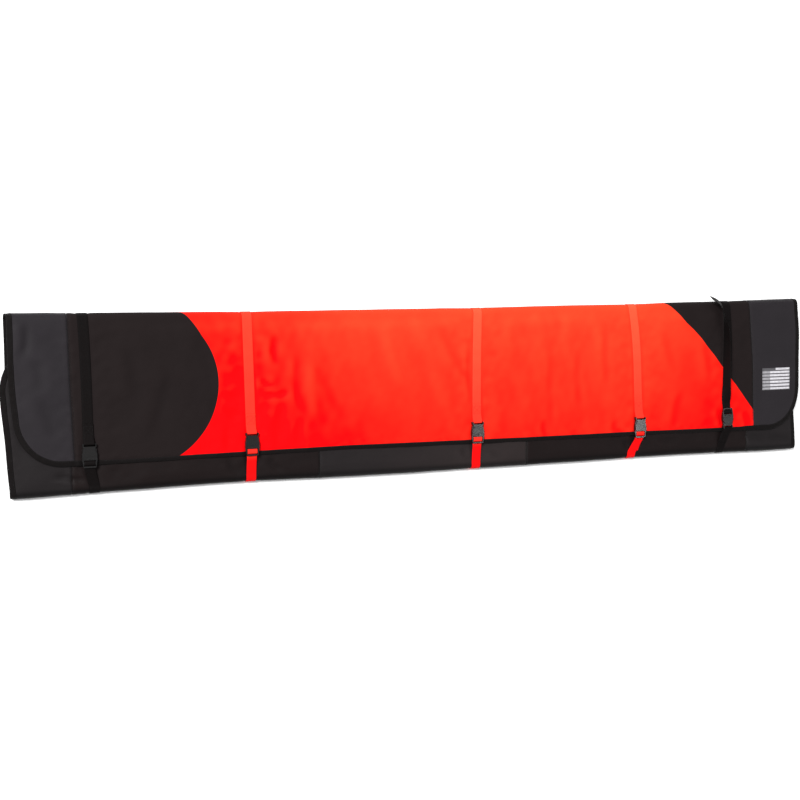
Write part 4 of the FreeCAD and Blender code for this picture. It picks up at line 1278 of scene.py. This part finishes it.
def label_patch():
    """The identity label, sewn on over the facing, and the stitches round it."""
    a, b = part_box("id_label")
    a.y += LABEL_SAG
    u, v = np.linspace(0, 1, 47)[:, None], np.linspace(0, 1, 32)[None, :]
    x, s = a.x + u * (b.x - a.x) + 0 * v, a.y + v * (b.y - a.y) + 0 * u
    edge = np.minimum(np.minimum(u, 1 - u) * (b.x - a.x), np.minimum(v, 1 - v) * (b.y - a.y))
    over = 0.35 * MM + 0.15 * MM * step(0, 3 * MM, edge) + 0.1 * MM * waves(x, s, 31, 30 * MM)
    patch = slab("id_label_patch", x, s, height(x, s) + over, height(x, s) - 0.3 * MM)
    patch.data.uv_layers.remove(patch.data.uv_layers["cloth"])
    uv = np.stack([(x - a.x).ravel(), (s - a.y).ravel()], -1)
    give_uv(patch, np.concatenate([uv, uv]))
    left, right = a.x + LABEL_INSET, b.x - LABEL_INSET
    low_s, high_s = a.y + LABEL_INSET, b.y - LABEL_INSET
    corners = [(left, low_s), (right, low_s), (right, high_s), (left, high_s), (left, low_s)]
    dense = resample(np.array(corners), 1 * MM)
    lines = [sewn(dense[:, 0], dense[:, 1], None, 0.6 * MM)]
    threads = stitches("id_label_stitches", lines, THREAD_GREY, 3 * MM, 2.3 * MM, 0.5 * MM, 0.3 * MM)
    return facing_out(patch), threads


label, label_stitches = label_patch()
dress(label, "label_white")
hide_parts("id_label")
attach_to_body(label, "outer_flap")
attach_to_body(label_stitches, "outer_flap")


# ---- buckles

for node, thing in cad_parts.items():
    if node.startswith("buckle_"):
        thing.data.materials.clear()
        thing.data.materials.append(MATERIALS["buckle_plastic"])


# ---- floor, lights and camera

def stage_material():
    g = Graph("floor_paint", 0.1)
    tone = g.noise(g.place(), 0.6, 2.0)
    return g.finish(g.mix(tone, (0.93, 0.93, 0.93, 1), (0.96, 0.96, 0.96, 1)), 0.9)


SIDE = 14.0
corners = [(-SIDE, -SIDE, 0), (SIDE, -SIDE, 0), (SIDE, SIDE, 0), (-SIDE, SIDE, 0)]
floor = new_mesh("floor", corners, [(0, 1, 2, 3)])
floor.data.materials.append(stage_material())

world = bpy.data.worlds.new("studio")
bpy.context.scene.world = world
world.use_nodes = True
background = world.node_tree.nodes["Background"]
background.inputs["Color"].default_value = (1, 1, 1, 1)
background.inputs["Strength"].default_value = 0.4


def area_light(name, spot, size, power):
    """A square lamp that faces the middle of the bag."""
    lamp = bpy.data.lights.new(name, "AREA")
    lamp.shape, lamp.size, lamp.energy = "SQUARE", size, power
    thing = bpy.data.objects.new(name, lamp)
    bpy.context.scene.collection.objects.link(thing)
    thing.location = spot
    thing.rotation_euler = (-Vector(spot)).to_track_quat("-Z", "Y").to_euler()
    return thing


area_light("key", (-5.6, 3.6, 7.7), 3.1, 1600)
area_light("gloss", (3.2, -0.7, 5.0), 0.55, 32)
fill = area_light("fill", (5.2, 2.0, 6.0), 2.5, 150)
fill.visible_glossy = False

camera_data = bpy.data.cameras.new("photo_angle")
camera_data.lens = 62.418
camera_data.sensor_width = 36.0
camera_data.clip_start, camera_data.clip_end = 0.05, 60
camera = bpy.data.objects.new("photo_angle", camera_data)
bpy.context.scene.collection.objects.link(camera)
camera.rotation_mode = "QUATERNION"
camera.rotation_quaternion = Quaternion((0.979644, -0.035730, -0.196978, -0.014818))
camera.location = (-1.42192, 0.23139, 3.08780 + FLAP_TOP)
bpy.context.scene.camera = camera
bpy.context.scene.view_settings.view_transform = "Standard"
